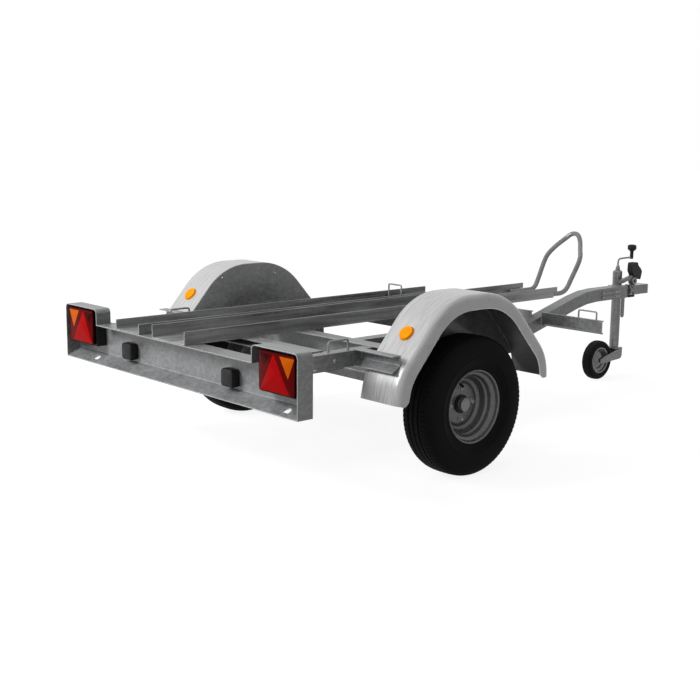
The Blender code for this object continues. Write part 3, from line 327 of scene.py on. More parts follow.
def mattFinish(name, values, shared):
    # a cloud coarser than the scale sets the colour, and a grain finer than it the roughness and the grit
    made, shader, place = newFinish(name + "Finish")
    cloud = place.noise(values["scale"] / shared["coarser"], shared["cloudDetail"])
    grain = place.noise(values["scale"] * shared["finer"], shared["grainDetail"])
    spread = (cloud - 0.5) * shared["contrast"] + 0.5
    smoothest = values["rough"] - shared["roughSwing"] / 2
    feed(shader, base_color=spread.mix(values["dark"], values["pale"]),
         roughness=grain * shared["roughSwing"] + smoothest, specular_ior_level=values["specular"],
         normal=relief(grain, values["grit"], shared["depth"]))
    return made


lensLook = {"bright": (0.38, 0.0005, 0.001), "ground": (0.10, 0.0004, 0.0006), "deep": (0.030, 0.0004, 0.0004),
            "amber": (0.56, 0.105, 0.001), "rim": (0.020, 0.001, 0.001), "inner": 0.518, "low": 0.398,
            "width": 0.182, "height": 0.132, "prismsAcross": 150.0, "prismsUp": 110.0, "prismShade": 0.35,
            "rough": 0.24, "roughSwing": 0.10, "specular": 0.02, "coat": 0.01, "coatRough": 0.08,
            "relief": 0.25, "depth": 0.0008}
lensAreas = {
    "triangle": {"left": (0.03, 0.40), "right": (0.86, -0.474), "foot": 0.0, "low": 0.03, "high": 0.95},
    "amber": {"left": (0.81, -0.451), "right": (0.81, 0.333), "foot": 0.42, "low": 0.42, "high": 0.93},
    "deep": {"left": (0.15, -0.42), "right": (0.15, 0.68), "foot": 0.62, "low": 0.62, "high": 0.93},
    "inside": {"left": (0.018, 0.0), "right": (0.982, 0.0), "foot": 0.0, "low": 0.025, "high": 0.975}}


def lensFinish(values, areas):
    # u runs from the lamp's inner edge to its outer one and v upwards, both from 0 to 1; an area lies
    # between two heights and two slanting lines, each start + slope * (v - foot)
    made, shader, place = newFinish("redLensFinish")
    y, z = place.parts()[1:]
    u = (y.absolute() - values["inner"]) / values["width"]
    v = (z - values["low"]) / values["height"]

    def within(area):
        left, right = ((v - area["foot"]) * slope + start for start, slope in (area["left"], area["right"]))
        across = (u - left).above(0.0) * (right - u).above(0.0)
        return across * (v - area["low"]).above(0.0) * (area["high"] - v).above(0.0)

    prisms = (u * values["prismsAcross"]).sine() * (v * values["prismsUp"]).sine() * 0.5 + 0.5
    colour = within(areas["triangle"]).mix(values["ground"], values["bright"])
    colour = within(areas["deep"]).mix(colour, values["deep"])
    colour = within(areas["amber"]).mix(colour, values["amber"])
    shaded = (prisms * values["prismShade"]).mix(colour, values["deep"])
    feed(shader, base_color=within(areas["inside"]).mix(values["rim"], shaded),
         roughness=prisms * values["roughSwing"] + values["rough"], specular_ior_level=values["specular"],
         coat_weight=values["coat"], coat_roughness=values["coatRough"],
         normal=relief(prisms, values["relief"], values["depth"]))
    return made


amberLook = {"dark": (0.72, 0.20, 0.002), "pale": (0.98, 0.36, 0.004), "prism": 420.0, "rough": 0.24,
             "roughSwing": 0.2, "specular": 0.02, "coat": 0.01, "relief": 0.3, "depth": 0.0006}


def amberFinish(values):
    # each prism cell has its own shade, roughness and height
    made, shader, place = newFinish("amberFinish")
    prism = place.cells(values["prism"])
    feed(shader, base_color=prism.mix(values["dark"], values["pale"]),
         roughness=prism * values["roughSwing"] + values["rough"], specular_ior_level=values["specular"],
         coat_weight=values["coat"], normal=relief(prism, values["relief"], values["depth"]))
    return made


steel = {name: steelFinish(name, values, steelGrain) for name, values in steelLooks.items()}
matt = {name: mattFinish(name, values, mattGrain) for name, values in mattLooks.items()}
redLens = lensFinish(lensLook, lensAreas)
amberLens = amberFinish(amberLook)
finishBySlot = {"galvanised": steel["galvanised"], "sheet_zinc": steel["sheetZinc"], "plated": steel["plated"],
                "tyre_rubber": matt["rubber"], "rim_paint": steel["rimPaint"], "black_plastic": matt["plastic"],
                "red_lens": redLens, "amber_lens": amberLens}
for part in frame["record"]["subparts"]:
    shown = nodes[part["node"]]
    shown.data.materials.clear()
    shown.data.materials.append(finishBySlot[part["material_slot"]])
for name in ("wheel_channel", "loading_ramp"):
    nodes[name].data.materials[0] = steel["drawn"]
print("finishes on the frame")

# Surfaces: each shape is an array of points and a list of face arrays


def placed(first, second, third, axes):
    # the three coordinates in the order that axes gives: "XZY" is an outline in X and Z carried along Y
    first, second, third = np.broadcast_arrays(first, second, third)
    grid = np.empty(first.shape + (3,))
    for letter, values in zip(axes, (first, second, third)):
        grid[..., "XYZ".index(letter)] = values
    return grid


def outward(points, faces):
    # the signed volume sums corner . (next x after) over each face's fan; below zero the faces turn round
    volume = 0.0
    for block in faces:
        for k in range(1, block.shape[1] - 1):
            a, b, c = points[block[:, 0]], points[block[:, k]], points[block[:, k + 1]]
            volume += np.einsum("ij,ij->", a, np.cross(b, c))
    return (points, faces) if volume > 0 else (points, [block[:, ::-1] for block in faces])


def loft(grid, looped=False):
    # quads between n closed rings of m points; fans close the first and last ring unless the rings are looped
    n, m = grid.shape[:2]
    index = np.arange(n * m).reshape(n, m)
    rows = np.vstack([index, index[:1]]) if looped else index
    beside = np.roll(rows, -1, axis=1)
    faces = [np.stack([rows[:-1], beside[:-1], beside[1:], rows[1:]], axis=-1).reshape(-1, 4)]
    points = grid.reshape(-1, 3)
    if not looped:
        points = np.vstack([points, grid[[0, -1]].mean(axis=1)])
        faces.append(np.stack([np.full(m, n * m), beside[0], index[0]], axis=-1))
        faces.append(np.stack([np.full(m, n * m + 1), index[-1], beside[-1]], axis=-1))
    return outward(points, faces)


def sheet(outer, inner):
    # two grids of n by m points, a sheet's two sides, joined along all four edges
    n, m = outer.shape[:2]
    top = np.arange(n * m).reshape(n, m)
    low = top + n * m
    faces = [np.stack([top[:-1, :-1], top[:-1, 1:], top[1:, 1:], top[1:, :-1]], axis=-1).reshape(-1, 4),
             np.stack([low[:-1, :-1], low[1:, :-1], low[1:, 1:], low[:-1, 1:]], axis=-1).reshape(-1, 4)]
    for side, flip in ((0, False), (-1, True)):
        strips = (np.stack([top[side, 1:], top[side, :-1], low[side, :-1], low[side, 1:]], axis=-1),
                  np.stack([top[:-1, side], top[1:, side], low[1:, side], low[:-1, side]], axis=-1))
        faces += [strip[:, ::-1] if flip else strip for strip in strips]
    return outward(np.vstack([outer.reshape(-1, 3), inner.reshape(-1, 3)]), faces)


def spun(profile, centre, axis, steps, looped=False):
    # the point at turn t of ring k lies radius_k * (cos t, sin t) off the axis and height_k along it
    profile = np.asarray(profile, float)
    turn = np.linspace(0, 2 * np.pi, steps, endpoint=False)
    others = "XYZ".replace(axis, "")
    grid = placed(profile[:, :1] * np.cos(turn), profile[:, :1] * np.sin(turn), profile[:, 1:], others + axis)
    return loft(grid + np.asarray(centre), looped)


def smoothLine(points, count, closed=False):
    # Catmull-Rom: through each p1 on the way from p0 to p2, read at count even steps
    points = np.asarray(points, float)
    if closed:
        padded = np.vstack([points[-1:], points, points[:2]])
        spans = len(points)
    else:
        padded = np.vstack([2 * points[0] - points[1], points, 2 * points[-1] - points[-2]])
        spans = len(points) - 1
    way = np.linspace(0, spans, count, endpoint=not closed)
    k = np.minimum(way.astype(int), spans - 1)
    t = (way - k)[:, None]
    p0, p1, p2, p3 = (padded[k + step] for step in range(4))
    return 0.5 * (2 * p1 + (p2 - p0) * t + (2 * p0 - 5 * p1 + 4 * p2 - p3) * t ** 2
                  + (3 * p1 - p0 - 3 * p2 + p3) * t ** 3)


def tube(path, radius, steps, side):
    # rings of radius r(s) in the plane across the path's direction, which never runs along side
    path = np.asarray(path, float)
    way = np.gradient(path, axis=0)
    way /= np.linalg.norm(way, axis=1, keepdims=True)
    first = np.cross(way, np.asarray(side, float))
    first /= np.linalg.norm(first, axis=1, keepdims=True)
    second = np.cross(first, way)
    turn = np.linspace(0, 2 * np.pi, steps, endpoint=False)[None, :, None]
    reach = np.broadcast_to(radius, len(path))[:, None, None]
    return loft(path[:, None] + reach * (np.cos(turn) * first[:, None] + np.sin(turn) * second[:, None]))


def roundBox(a0, a1, b0, b1, radius, steps=7):
    # an anticlockwise rectangle with quarter circles of the given radius at its corners
    quarter = np.repeat(np.arange(4), steps)
    turn = quarter * np.pi / 2 + np.tile(np.linspace(0, np.pi / 2, steps), 4)
    a = np.array([a1 - radius, a0 + radius, a0 + radius, a1 - radius])[quarter]
    b = np.array([b1 - radius, b1 - radius, b0 + radius, b0 + radius])[quarter]
    return np.column_stack([a + radius * np.cos(turn), b + radius * np.sin(turn)])


def slab(outline, low, high, edge, axes):
    # an anticlockwise outline carried from low to high, drawn in by edge at both ends for a bevel
    outline = np.asarray(outline, float)
    along = np.roll(outline, -1, axis=0) - np.roll(outline, 1, axis=0)
    along /= np.linalg.norm(along, axis=1, keepdims=True)
    inward = np.column_stack([-along[:, 1], along[:, 0]])
    depth = np.array([low, low + edge * 0.3, low + edge, high - edge, high - edge * 0.3, high])[:, None]
    draw = np.array([1.0, 0.3, 0.0, 0.0, 0.3, 1.0])[:, None, None] * edge
    rings = outline[None] + inward[None] * draw
    return loft(placed(rings[..., 0], rings[..., 1], depth, axes))


def mirrored(shape):
    # the same shape on the other side of the middle plane, its faces turned round
    points, faces = shape
    return points * np.array([1.0, -1.0, 1.0]), [block[:, ::-1] for block in faces]


def addPiece(name, shapes, finishes, body, stands=(), sharp=38):
    # joins the shapes into one object; finishes is one material, or one per shape
    finishes = finishes if isinstance(finishes, list) else [finishes] * len(shapes)
    kinds = list(dict.fromkeys(finishes))
    points, faces, kind = [], [], []
    start = 0
    for (spots, blocks), finish in zip(shapes, finishes):
        points.append(spots)
        for block in blocks:
            faces += (block + start).tolist()
            kind += [kinds.index(finish)] * len(block)
        start += len(spots)
    mesh = bpy.data.meshes.new(name)
    mesh.from_pydata(np.vstack(points).tolist(), [], faces)
    for finish in kinds:
        mesh.materials.append(finish)
    mesh.polygons.foreach_set("material_index", kind)
    mesh.polygons.foreach_set("use_smooth", [True] * len(faces))
    mesh.set_sharp_from_angle(angle=math.radians(sharp))
    mesh.update()
    piece = bpy.data.objects.new(name, mesh)
    bpy.context.scene.collection.objects.link(piece)
    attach(piece, body)
    if stands:
        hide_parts(*stands)


# Treaded tyres: rows across are (width, radius, groove, zigzag, shoulder bar), mirrored about the middle

tyreLook = {"around": 540, "zigzags": 90, "bars": 90, "barShare": 0.34, "barShift": 0.25,
            "grooveDepth": 0.0060, "barDepth": 0.0022, "swing": 0.0014, "track": 0.655, "axleHeight": 0.255}
treadRows = np.array([
    (0.0, 0.2550, 1, 1, 0), (0.0024, 0.2550, 1, 1, 0), (0.0032, 0.2550, 0, 1, 0), (0.0110, 0.2549, 0, 0.5, 0),
    (0.0198, 0.2547, 0, 1, 0), (0.0206, 0.2547, 1, 1, 0), (0.0230, 0.2546, 1, 1, 0), (0.0254, 0.2545, 1, 1, 0),
    (0.0262, 0.2544, 0, 1, 0), (0.033, 0.254, 0, 0.3, 0), (0.0346, 0.2538, 0, 0, 0), (0.0354, 0.2537, 0, 0, 1),
    (0.0420, 0.2528, 0, 0, 1), (0.0500, 0.2502, 0, 0, 1), (0.0560, 0.2466, 0, 0, 1), (0.0604, 0.2426, 0, 0, 1),
    (0.064, 0.2375, 0, 0, 0.8), (0.0658, 0.233, 0, 0, 0), (0.0674, 0.226, 0, 0, 0), (0.0690, 0.2150, 0, 0, 0),
    (0.0697, 0.2020, 0, 0, 0), (0.0700, 0.1900, 0, 0, 0), (0.0690, 0.1790, 0, 0, 0), (0.0700, 0.1772, 0, 0, 0),
    (0.0699, 0.1748, 0, 0, 0), (0.0684, 0.1732, 0, 0, 0), (0.0655, 0.1640, 0, 0, 0), (0.0628, 0.1560, 0, 0, 0),
    (0.0600, 0.1500, 0, 0, 0), (0.0592, 0.1445, 0, 0, 0), (0.0588, 0.1400, 0, 0, 0), (0.0560, 0.1352, 0, 0, 0),
    (0.0515, 0.1342, 0, 0, 0), (0.0300, 0.1342, 0, 0, 0)])


def tyreShape(values, rows):
    # radius(t, h) = row radius - groove and bar depths; width(t, h) swings by the zigzag of t; the bars of
    # the two shoulders are shifted against each other
    mirror = rows[1:][::-1] * np.array([-1, 1, 1, 1, 1])
    across = np.vstack([rows, mirror])
    turn = np.linspace(0, 2 * np.pi, values["around"], endpoint=False)[:, None]
    beat = turn * values["zigzags"] / (2 * np.pi) % 1.0
    swing = (np.abs(beat * 2 - 1) - 0.5) * 2 * values["swing"]
    bar = turn * values["bars"] / (2 * np.pi) + np.sign(across[:, 0]) * values["barShift"]
    slot = (bar % 1.0 < values["barShare"]).astype(float)
    radius = across[:, 1] - across[:, 2] * values["grooveDepth"] - across[:, 4] * slot * values["barDepth"]
    width = across[:, 0] + across[:, 3] * swing
    grid = placed(radius * np.cos(turn), radius * np.sin(turn), width, "XZY")
    return loft(grid + np.array([axleX, values["track"], values["axleHeight"]]), looped=True)


tyre = tyreShape(tyreLook, treadRows)
addPiece("treadTyreLeft", [tyre], matt["rubber"], "wheel_left", ["tyre_left"], 24)
addPiece("treadTyreRight", [mirrored(tyre)], matt["rubber"], "wheel_right", ["tyre_right"], 24)
print("tyres made")

# Pressed rims with a deep dish, wheel bolts, valve and hub cap; radius and width out from the track

rimLook = {"steps": 96, "frontSteps": 110, "backSteps": 50, "bolts": 4, "boltCircle": 0.0575,
           "boltSeat": -0.0098, "firstBolt": 1.0, "boltSize": 0.0092, "valveTurn": 112.0, "valveRadius": 0.0045}
rimFront = [(0.1336, 0.0490), (0.1341, 0.0555), (0.1330, 0.0584), (0.1296, 0.0582), (0.1266, 0.0545),
            (0.1252, 0.0480), (0.1228, 0.0432), (0.1170, 0.0400), (0.1124, 0.0362), (0.1100, 0.0292),
            (0.1084, 0.0222), (0.1056, 0.0186), (0.1020, 0.0142), (0.1003, 0.0040), (0.0986, -0.0060),
            (0.0950, -0.0112), (0.0895, -0.0150), (0.0840, -0.0158), (0.0786, -0.0134), (0.0740, -0.0108),
            (0.0690, -0.0100), (0.0500, -0.0100), (0.0400, -0.0100), (0.0250, -0.0100)]
rimBack = [(0.0250, -0.0180), (0.0500, -0.0180), (0.0700, -0.0180), (0.0740, -0.0186), (0.0786, -0.0212),
           (0.0840, -0.0238), (0.0895, -0.0230), (0.0945, -0.0205), (0.0985, -0.0200), (0.0998, -0.0240),
           (0.0999, -0.0330), (0.1050, -0.0385), (0.1180, -0.0436), (0.1232, -0.0470), (0.1262, -0.0540),
           (0.1290, -0.0578), (0.1330, -0.0583), (0.1343, -0.0555), (0.1336, -0.0490)]
valveStem = np.array([(0.0990, -0.002), (0.0930, 0.006), (0.0860, 0.014), (0.0790, 0.024), (0.0760, 0.028)])
valveSwell = np.array([1.5, 1.4] + [1.0] * 8 + [1.15] * 3 + [0.8])
capProfile = [(0.0262, -0.0095), (0.0262, 0.0125), (0.0250, 0.0156), (0.0215, 0.0174), (0.0130, 0.0182),
              (0.0040, 0.0184)]
# the black ring is painted shade: a dark piece in the gap between the disc's centre hole and the hub cap
shadeRingProfile = [(0.0336, -0.0096), (0.0336, -0.0050), (0.0326, -0.0038), (0.0276, -0.0030), (0.0268, 0.0010),
               (0.0258, 0.0010), (0.0258, -0.0096)]
boltHead = {"low": 0.10, "high": 0.85, "edge": 0.10}
washerProfile = [(1.40, 0.0), (1.42, 0.12), (1.30, 0.20), (0.9, 0.22)]
threadProfile = [(0.58, 0.7), (0.58, 1.12), (0.44, 1.25)]


def boltShape(place, way, size):
    # a washer, a six-sided head and a rounded thread end, turned so that their own height runs along way
    way = np.asarray(way, float) / np.linalg.norm(way)
    first = np.cross(way, (0.0, 0.0, 1.0) if abs(way[2]) < 0.9 else (1.0, 0.0, 0.0))
    first /= np.linalg.norm(first)
    turn = np.arange(6) * np.pi / 3
    corners = np.column_stack([np.cos(turn), np.sin(turn)])
    head = slab(corners, boltHead["low"], boltHead["high"], boltHead["edge"], "XYZ")
    washer = spun(washerProfile, (0, 0, 0), "Z", 18)
    thread = spun(threadProfile, (0, 0, 0), "Z", 12)
    axes = np.array([first, np.cross(way, first), way])
    place = np.asarray(place, float)
    return [outward(points * size @ axes + place, faces) for points, faces in (head, washer, thread)]


def radialWay(degrees):
    # the unit vector (cos, 0, sin) across the axle
    turn = math.radians(degrees)
    return np.array([math.cos(turn), 0, math.sin(turn)])


def wheelShapes(values, front, rear):
    # the rim is one closed section spun about the axle, a smooth front line and the back of the sheet
    centre = np.array([axleX, tyreLook["track"], tyreLook["axleHeight"]])
    section = np.vstack([smoothLine(front, values["frontSteps"]), smoothLine(rear, values["backSteps"])])
    rim = spun(section, centre, "Y", values["steps"], looped=True)
    bolts = []
    for k in range(values["bolts"]):
        around = radialWay(values["firstBolt"] + 360 / values["bolts"] * k) * values["boltCircle"]
        bolts += boltShape(centre + around + (0, values["boltSeat"], 0), (0, 1, 0), values["boltSize"])
    stem = centre + radialWay(values["valveTurn"]) * valveStem[:, :1] + valveStem[:, 1:] * np.array([0, 1, 0])
    valve = tube(smoothLine(stem, len(valveSwell)), values["valveRadius"] * valveSwell, 14, side=(1, 0, 0))
    cap = spun(capProfile, centre, "Y", 48)
    ring = spun(shadeRingProfile, centre, "Y", 48, looped=True)
    return rim, bolts, valve, cap, ring


rim, wheelBolts, valve, hubCap, capShadeRing = wheelShapes(rimLook, rimFront, rimBack)
for side, flip in (("left", False), ("right", True)):
    turned = [mirrored(shape) if flip else shape for shape in [rim, valve, hubCap, capShadeRing] + wheelBolts]
    label = side.title()
    addPiece("pressedRim" + label, turned[:1], steel["rimPaint"], "wheel_" + side, ["rim_" + side])
    # the hub cap's black ring is painted shade in the gap round the cap
    addPiece("hubCap" + label, turned[2:4], [steel["plated"], matt["plastic"]], "wheel_" + side,
             ["hub_cap_" + side])
    addPiece("wheelBolts" + label, turned[4:], steel["plated"], "wheel_" + side, ())
    addPiece("tyreValve" + label, turned[1:2], matt["plastic"], "wheel_" + side, ())
print("rims made")

# Fenders: one sheet over a filleted arch with a rounded shoulder, a skirt and a rolled edge

fenderLook = {"inner": 0.557, "outer": 0.736, "shoulder": 0.024, "skirt": 0.052, "corner": 0.026,
              "thick": 0.003, "gap": 0.0001, "roll": 0.0026, "bend": 0.06, "arcShare": 0.96,
              "plateLow": 0.385, "plateInner": 0.556, "plateEdge": 0.0006, "plateStep": 0.004, "plateEnd": 20,
              "alongSteps": 110, "arcSteps": 9, "flatSteps": 8, "skirtSteps": 4}
fenderArch = [(-0.410, 0.319, 0), (-0.392, 0.412, 0.200), (-0.172, 0.662, 0.263), (0.145, 0.662, 0.285),
              (0.387, 0.399, 0.180), (0.387, 0.319, 0)]


def archLine(corners, bend, share):
    # straight runs joined by arcs that turn about bend a step and take at most share of a run: its points,
    # and its normals on the outside
    spots = np.array([corner[:2] for corner in corners])
    steps = np.diff(spots, axis=0)
    lengths = np.linalg.norm(steps, axis=1)
    ways = steps / lengths[:, None]
    left = np.column_stack([-ways[:, 1], ways[:, 0]])
    points, normals = [spots[:1]], [left[:1]]
    for i in range(1, len(spots) - 1):
        before, after = ways[i - 1], ways[i]
        turn = math.atan2(before[0] * after[1] - before[1] * after[0], float(before @ after))
        reach = min(corners[i][2] * math.tan(abs(turn) / 2), share * lengths[i - 1], share * lengths[i])
        radius = math.copysign(reach / math.tan(abs(turn) / 2), turn)
        normal = left[i - 1]
        centre = spots[i] - before * reach + normal * radius
        angle = np.linspace(0, turn, max(3, math.ceil(abs(turn) / bend)))[:, None]
        spread = normal * np.cos(angle) + np.array([-normal[1], normal[0]]) * np.sin(angle)
        points.append(centre - spread * radius)
        normals.append(spread)
    return np.vstack(points + [spots[-1:]]), np.vstack(normals + [left[-1:]])


def resampled(points, normals, places):
    # the line and its normals at the given distances from its start
    length = np.concatenate([[0], np.cumsum(np.linalg.norm(np.diff(points, axis=0), axis=1))])
    spots = np.column_stack([np.interp(places, length, points[:, k]) for k in range(2)])
    out = np.column_stack([np.interp(places, length, normals[:, k]) for k in range(2)])
    return spots, out / np.linalg.norm(out, axis=1, keepdims=True)


def fenderShapes(values, corners):
    # spot(s, y) = arch(s) - normal(s) * depth(y); the skirt's depth falls by a quarter circle at both ends
    points, normals = archLine(corners, values["bend"], values["arcShare"])
    total = np.sum(np.linalg.norm(np.diff(points, axis=0), axis=1))
    corner, shoulder, thick = values["corner"], values["shoulder"], values["thick"]
    outerEdge, below = values["outer"], values["skirtSteps"]
    arc = np.linspace(0, np.pi / 2, values["arcSteps"])
    ends = corner * (1 - np.cos(arc))
    along = np.linspace(corner, total - corner, values["alongSteps"])
    places = np.unique(np.concatenate([ends, total - ends, along]).round(6))
    spots, out = resampled(points, normals, places)
    short = np.maximum(0, corner - np.minimum(places, total - places))
    skirt = values["skirt"] - corner + np.sqrt(np.maximum(0, corner ** 2 - short ** 2))
    flat = np.linspace(values["inner"], outerEdge - shoulder, values["flatSteps"])[:-1]
    width = np.concatenate([flat, outerEdge - shoulder * (1 - np.sin(arc)), np.full(below, outerEdge)])
    depth = np.concatenate([np.zeros(len(flat)), shoulder * (1 - np.cos(arc)), np.zeros(below)])
    depth = np.repeat(depth[None], len(places), axis=0)
    depth[:, -below:] = shoulder + (skirt - shoulder)[:, None] * np.linspace(1 / below, 1, below)
    across = np.concatenate([np.zeros(len(flat)), np.sin(arc), np.ones(below)])
    upright = np.concatenate([np.ones(len(flat)), np.cos(arc), np.zeros(below)])

    def side(inset):
        # the sheet's surface moved inwards by inset, square to itself
        drop = depth + upright * inset
        x = spots[:, :1] - out[:, :1] * drop
        z = spots[:, 1:] - out[:, 1:] * drop
        return placed(x + axleX, width - across * inset, z, "XYZ")

    outer = side(0.0)
    skin = sheet(outer, side(thick * 0.5))
    lining = sheet(side(thick * 0.5 + values["gap"]), side(thick))
    # the roll is finished in a pale zinc, a painted highlight along the fender's edge
    roll = tube(outer[:, -1] - (0, values["roll"], 0), values["roll"], 12, side=(0, 1, 0))
    # the inner plate follows the arch down to plateLow, where a foot is read off each end of the line
    plate = points - normals * thick * 0.5
    low, end, near = values["plateLow"], values["plateEnd"], values["plateInner"]
    kept = plate[plate[:, 1] > low + values["plateStep"]]
    feet = [np.interp(low, half[:end, 1], half[:end, 0]) for half in (plate, plate[::-1])]
    outline = np.vstack([[(feet[0], low)], kept, [(feet[1], low)]])[::-1]
    inner = slab(outline + (axleX, 0), near, near + thick, values["plateEdge"], "XZY")
    return skin, lining, roll, inner


skin, lining, roll, innerPlate = fenderShapes(fenderLook, fenderArch)
for side, flip in (("left", False), ("right", True)):
    turned = [mirrored(shape) if flip else shape for shape in (skin, lining, roll, innerPlate)]
    # the lining's dark zinc is painted shade under the fender, and the roll's pale zinc a painted highlight
    looks = [steel["sheetZinc"], steel["shadedInnerZinc"], steel["rolledEdgeHighlight"], steel["galvanised"]]
    addPiece("rolledFender" + side.title(), turned, looks, "chassis", ["fender_" + side], 30)
print("fenders made")

# Lamp lenses and number-plate lamps with rounded edges

lensEdge = {"corner": 0.010, "edge": 0.0022}
plateLampEdge = {"corner": 0.011, "edge": 0.0060}


def roundedBlock(values, low, high):
    # a rounded outline in Y and Z that fills the box of the CAD piece
    outline = roundBox(low[1], high[1], low[2], high[2], values["corner"])
    return slab(outline, low[0], high[0], values["edge"], "YZX")


lens = roundedBlock(lensEdge, *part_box("lamp_lens_left"))
addPiece("tailLensLeft", [lens], redLens, "chassis", ["lamp_lens_left"])
addPiece("tailLensRight", [mirrored(lens)], redLens, "chassis", ["lamp_lens_right"])
plateLamp = roundedBlock(plateLampEdge, *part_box("plate_lamp_left"))
addPiece("roundPlateLampLeft", [plateLamp], matt["plastic"], "chassis", ["plate_lamp_left"])
addPiece("roundPlateLampRight", [mirrored(plateLamp)], matt["plastic"], "chassis", ["plate_lamp_right"])
print("lamps made")

# Chock hoop: one bent tube, its feet inside the channel's walls

hoopLook = {"radius": 0.011, "footX": 1.286, "footY": 0.0879, "footZ": 0.4961, "top": 0.757, "steps": 170}
hoopRise = np.array([(-0.160, 0, 0), (-0.080, 0, 0), (-0.010, 0, 0), (0.020, 0.0015, 0.008),
                     (0.040, 0.004, 0.026), (0.060, 0.006, 0.058), (0.114, 0.010, 0.146)])
hoopCrown = np.array([(0.148, 0.074, -0.066), (0.183, 0.044, -0.028), (0.198, 0.016, -0.0040)])


def hoopShape(values, rise, crown):
    # rise is measured from the foot, and crown from the foot's x, the middle plane and the top; this half
    # path is mirrored about the middle and read as one fine Catmull-Rom line
    x = values["footX"] + axleX
    half = np.vstack([rise + (x, values["footY"], values["footZ"]), crown + (x, 0, values["top"])])
    path = np.vstack([half, half[::-1] * np.array([1, -1, 1])])
    return tube(smoothLine(path, values["steps"]), values["radius"], 20, side=(0.35, 0.0, -0.94))


hoop = hoopShape(hoopLook, hoopRise, hoopCrown)
addPiece("bentHoop", [hoop], steel["plated"], "chassis", ["chock_hoop"])
print("hoop made")

# Jockey wheel: a rubber tyre with a worn tread on a pressed disc

jockeyLook = {"x": 1.1515, "y": 0.0575, "z": 0.0985, "radius": 0.0985, "half": 0.025}


def jockeyTyre(values, discBox):
    # the section is a closed smooth line through its shoulders and its seat on the disc
    r, h, seat = values["radius"], values["half"], (discBox[1][2] - discBox[0][2]) / 2 + 0.0003
    half = [(r, 0.0), (r - 0.0006, h * 0.5), (r - 0.004, h * 0.82), (r - 0.013, h), (r - 0.024, h * 0.98),
            (seat + 0.003, h * 0.80), (seat, h * 0.60)]
    section = smoothLine(half + [(seat, 0.0)] + [(a, -b) for a, b in half[:0:-1]], 64, closed=True)
    return spun(section, (values["x"], values["y"], values["z"]), "Y", 96, looped=True)


addPiece("wornJockeyTyre", [jockeyTyre(jockeyLook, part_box("jockey_disc"))], matt["wheelRubber"], "jockey_wheel",
         ["jockey_tyre"])
print("jockey wheel made")

# Crank: bent rod, threaded collar and a black turning knob

crankLook = {"x": 1.934, "y": 0.0575, "rod": 0.0045, "steps": 60}
crankLine = np.array([(0, 0.544), (0, 0.580), (0.001, 0.592), (0.008, 0.601), (0.022, 0.604), (0.070, 0.605),
                      (0.116, 0.605)])
collarProfile = [(0.0085, 0.5482), (0.0112, 0.5490), (0.0112, 0.5600), (0.0088, 0.5612), (0.0088, 0.5660),
                 (0.0078, 0.5700), (0.0050, 0.5712)]
knobProfile = [(0.0075, 0.597), (0.0088, 0.604), (0.0090, 0.622), (0.0098, 0.636), (0.0170, 0.642),
               (0.0218, 0.648), (0.0222, 0.660), (0.0205, 0.667), (0.0120, 0.6705)]


def crankShapes(values, line):
    # the rod runs smoothly through line, how far forward and how high, to the knob; collar and knob are
    # spun about Z
    x, y = values["x"] + axleX, values["y"]
    path = np.column_stack([line[:, 0] + x, np.full(len(line), y), line[:, 1]])
    rod = tube(smoothLine(path, values["steps"]), values["rod"], 14, side=(0, 1, 0))
    collar = spun(collarProfile, (x, y, 0), "Z", 28)
    head = spun(smoothLine(knobProfile, 30), (x + line[-1, 0], y, 0), "Z", 36)
    return [rod, collar, head]


crankLooks = [steel["plated"], steel["plated"], matt["plastic"]]
addPiece("bentCrank", crankShapes(crankLook, crankLine), crankLooks, "chassis", ["jockey_crank"])
print("crank made")

# Small fittings: coupling band and rest, bolts and weld beads

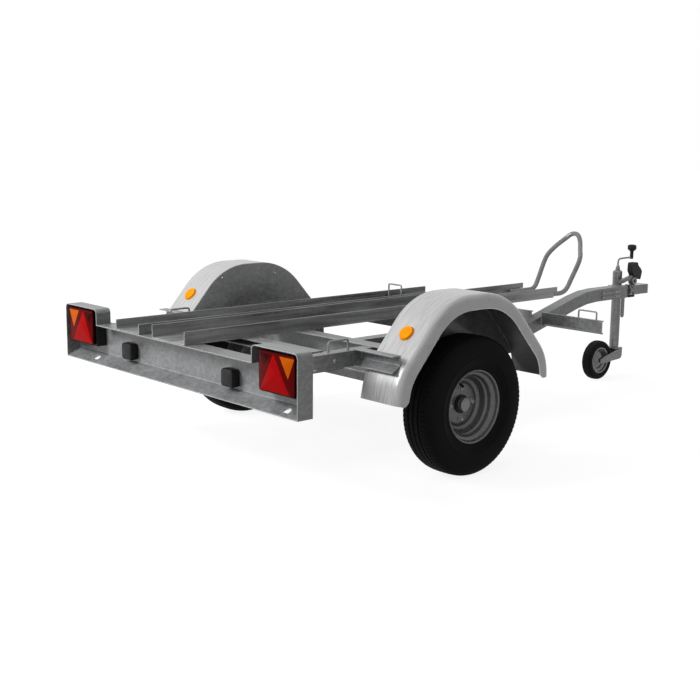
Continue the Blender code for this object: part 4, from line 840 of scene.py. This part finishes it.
fittings = {"band": (1.904, 1.937, 0.0282), "rim": 0.002, "height": 0.4475,
            "rest": (1.947, 1.993, 0.4118, 0.4242), "restCorner": 0.003, "restHalf": 0.012, "restEdge": 0.002}
clampBars = {"x": (1.686, 1.836), "rows": (0.4325, 0.4535), "half": 0.0055, "y": (-0.0345, -0.0302),
             "corner": 0.0045, "edge": 0.0010, "bolts": (1.696, 1.800), "size": 0.0055}
plateBolts = {"places": [(-0.180, 0.610), (0.100, 0.610), (0.330, 0.420), (-0.335, 0.420)], "y": 0.5558,
              "size": 0.0050}
weldLook = {"radius": 0.0028, "ripple": 0.16, "pace": 1.4, "steps": 60}
weldLine = [(0.0305, 0.345), (0.0308, 0.365), (0.0305, 0.384)]


def fittingShapes(values):
    # a band with bevelled rims spun about the coupling's line, and a flat rest under the coupling
    start, end, radius = values["band"]
    rim = values["rim"]
    profile = [(radius - rim, start), (radius, start + rim), (radius, end - rim), (radius - rim, end)]
    band = spun(profile, (axleX, 0, values["height"]), "X", 40)
    back, front, low, high = values["rest"]
    outline = roundBox(back + axleX, front + axleX, low, high, values["restCorner"])
    rest = slab(outline, -values["restHalf"], values["restHalf"], values["restEdge"], "XZY")
    return [band, rest]


def clampShapes(values):
    # two flat bars along the drawbar's near side, each with a bolt near its ends
    start, end = (x + axleX for x in values["x"])
    outer, inner = values["y"]
    half = values["half"]
    shapes = []
    for z in values["rows"]:
        outline = roundBox(start, end, z - half, z + half, values["corner"])
        shapes.append(slab(outline, outer, inner, values["edge"], "XZY"))
        for x in values["bolts"]:
            shapes += boltShape((x + axleX, outer, z), (0, -1, 0), values["size"])
    return shapes


def plateBoltShapes(values):
    # one bolt at each place on the left inner plate, and its mirror image on the right one
    shapes = []
    for x, z in values["places"]:
        bolt = boltShape((x + axleX, values["y"], z), (0, -1, 0), values["size"])
        shapes += bolt + [mirrored(shape) for shape in bolt]
    return shapes


def weldBead(values, path):
    # a tube whose radius at each step is radius * (1 + ripple * sin(pace * step))
    swell = 1 + values["ripple"] * np.sin(np.arange(values["steps"]) * values["pace"])
    return tube(smoothLine(path, values["steps"]), values["radius"] * swell, 10, side=(1, 0, 0))


addPiece("couplingBand", fittingShapes(fittings), matt["plastic"], "chassis", ())
addPiece("clampBars", clampShapes(clampBars), steel["plated"], "chassis", ())
addPiece("smallBolts", plateBoltShapes(plateBolts), steel["plated"], "chassis", ())
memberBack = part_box("cross_member_front_left")[0][0]
bead = weldBead(weldLook, [(memberBack, y, z) for y, z in weldLine])
addPiece("weldBeads", [bead, mirrored(bead)], steel["galvanised"], "chassis", ())
print("fittings made")
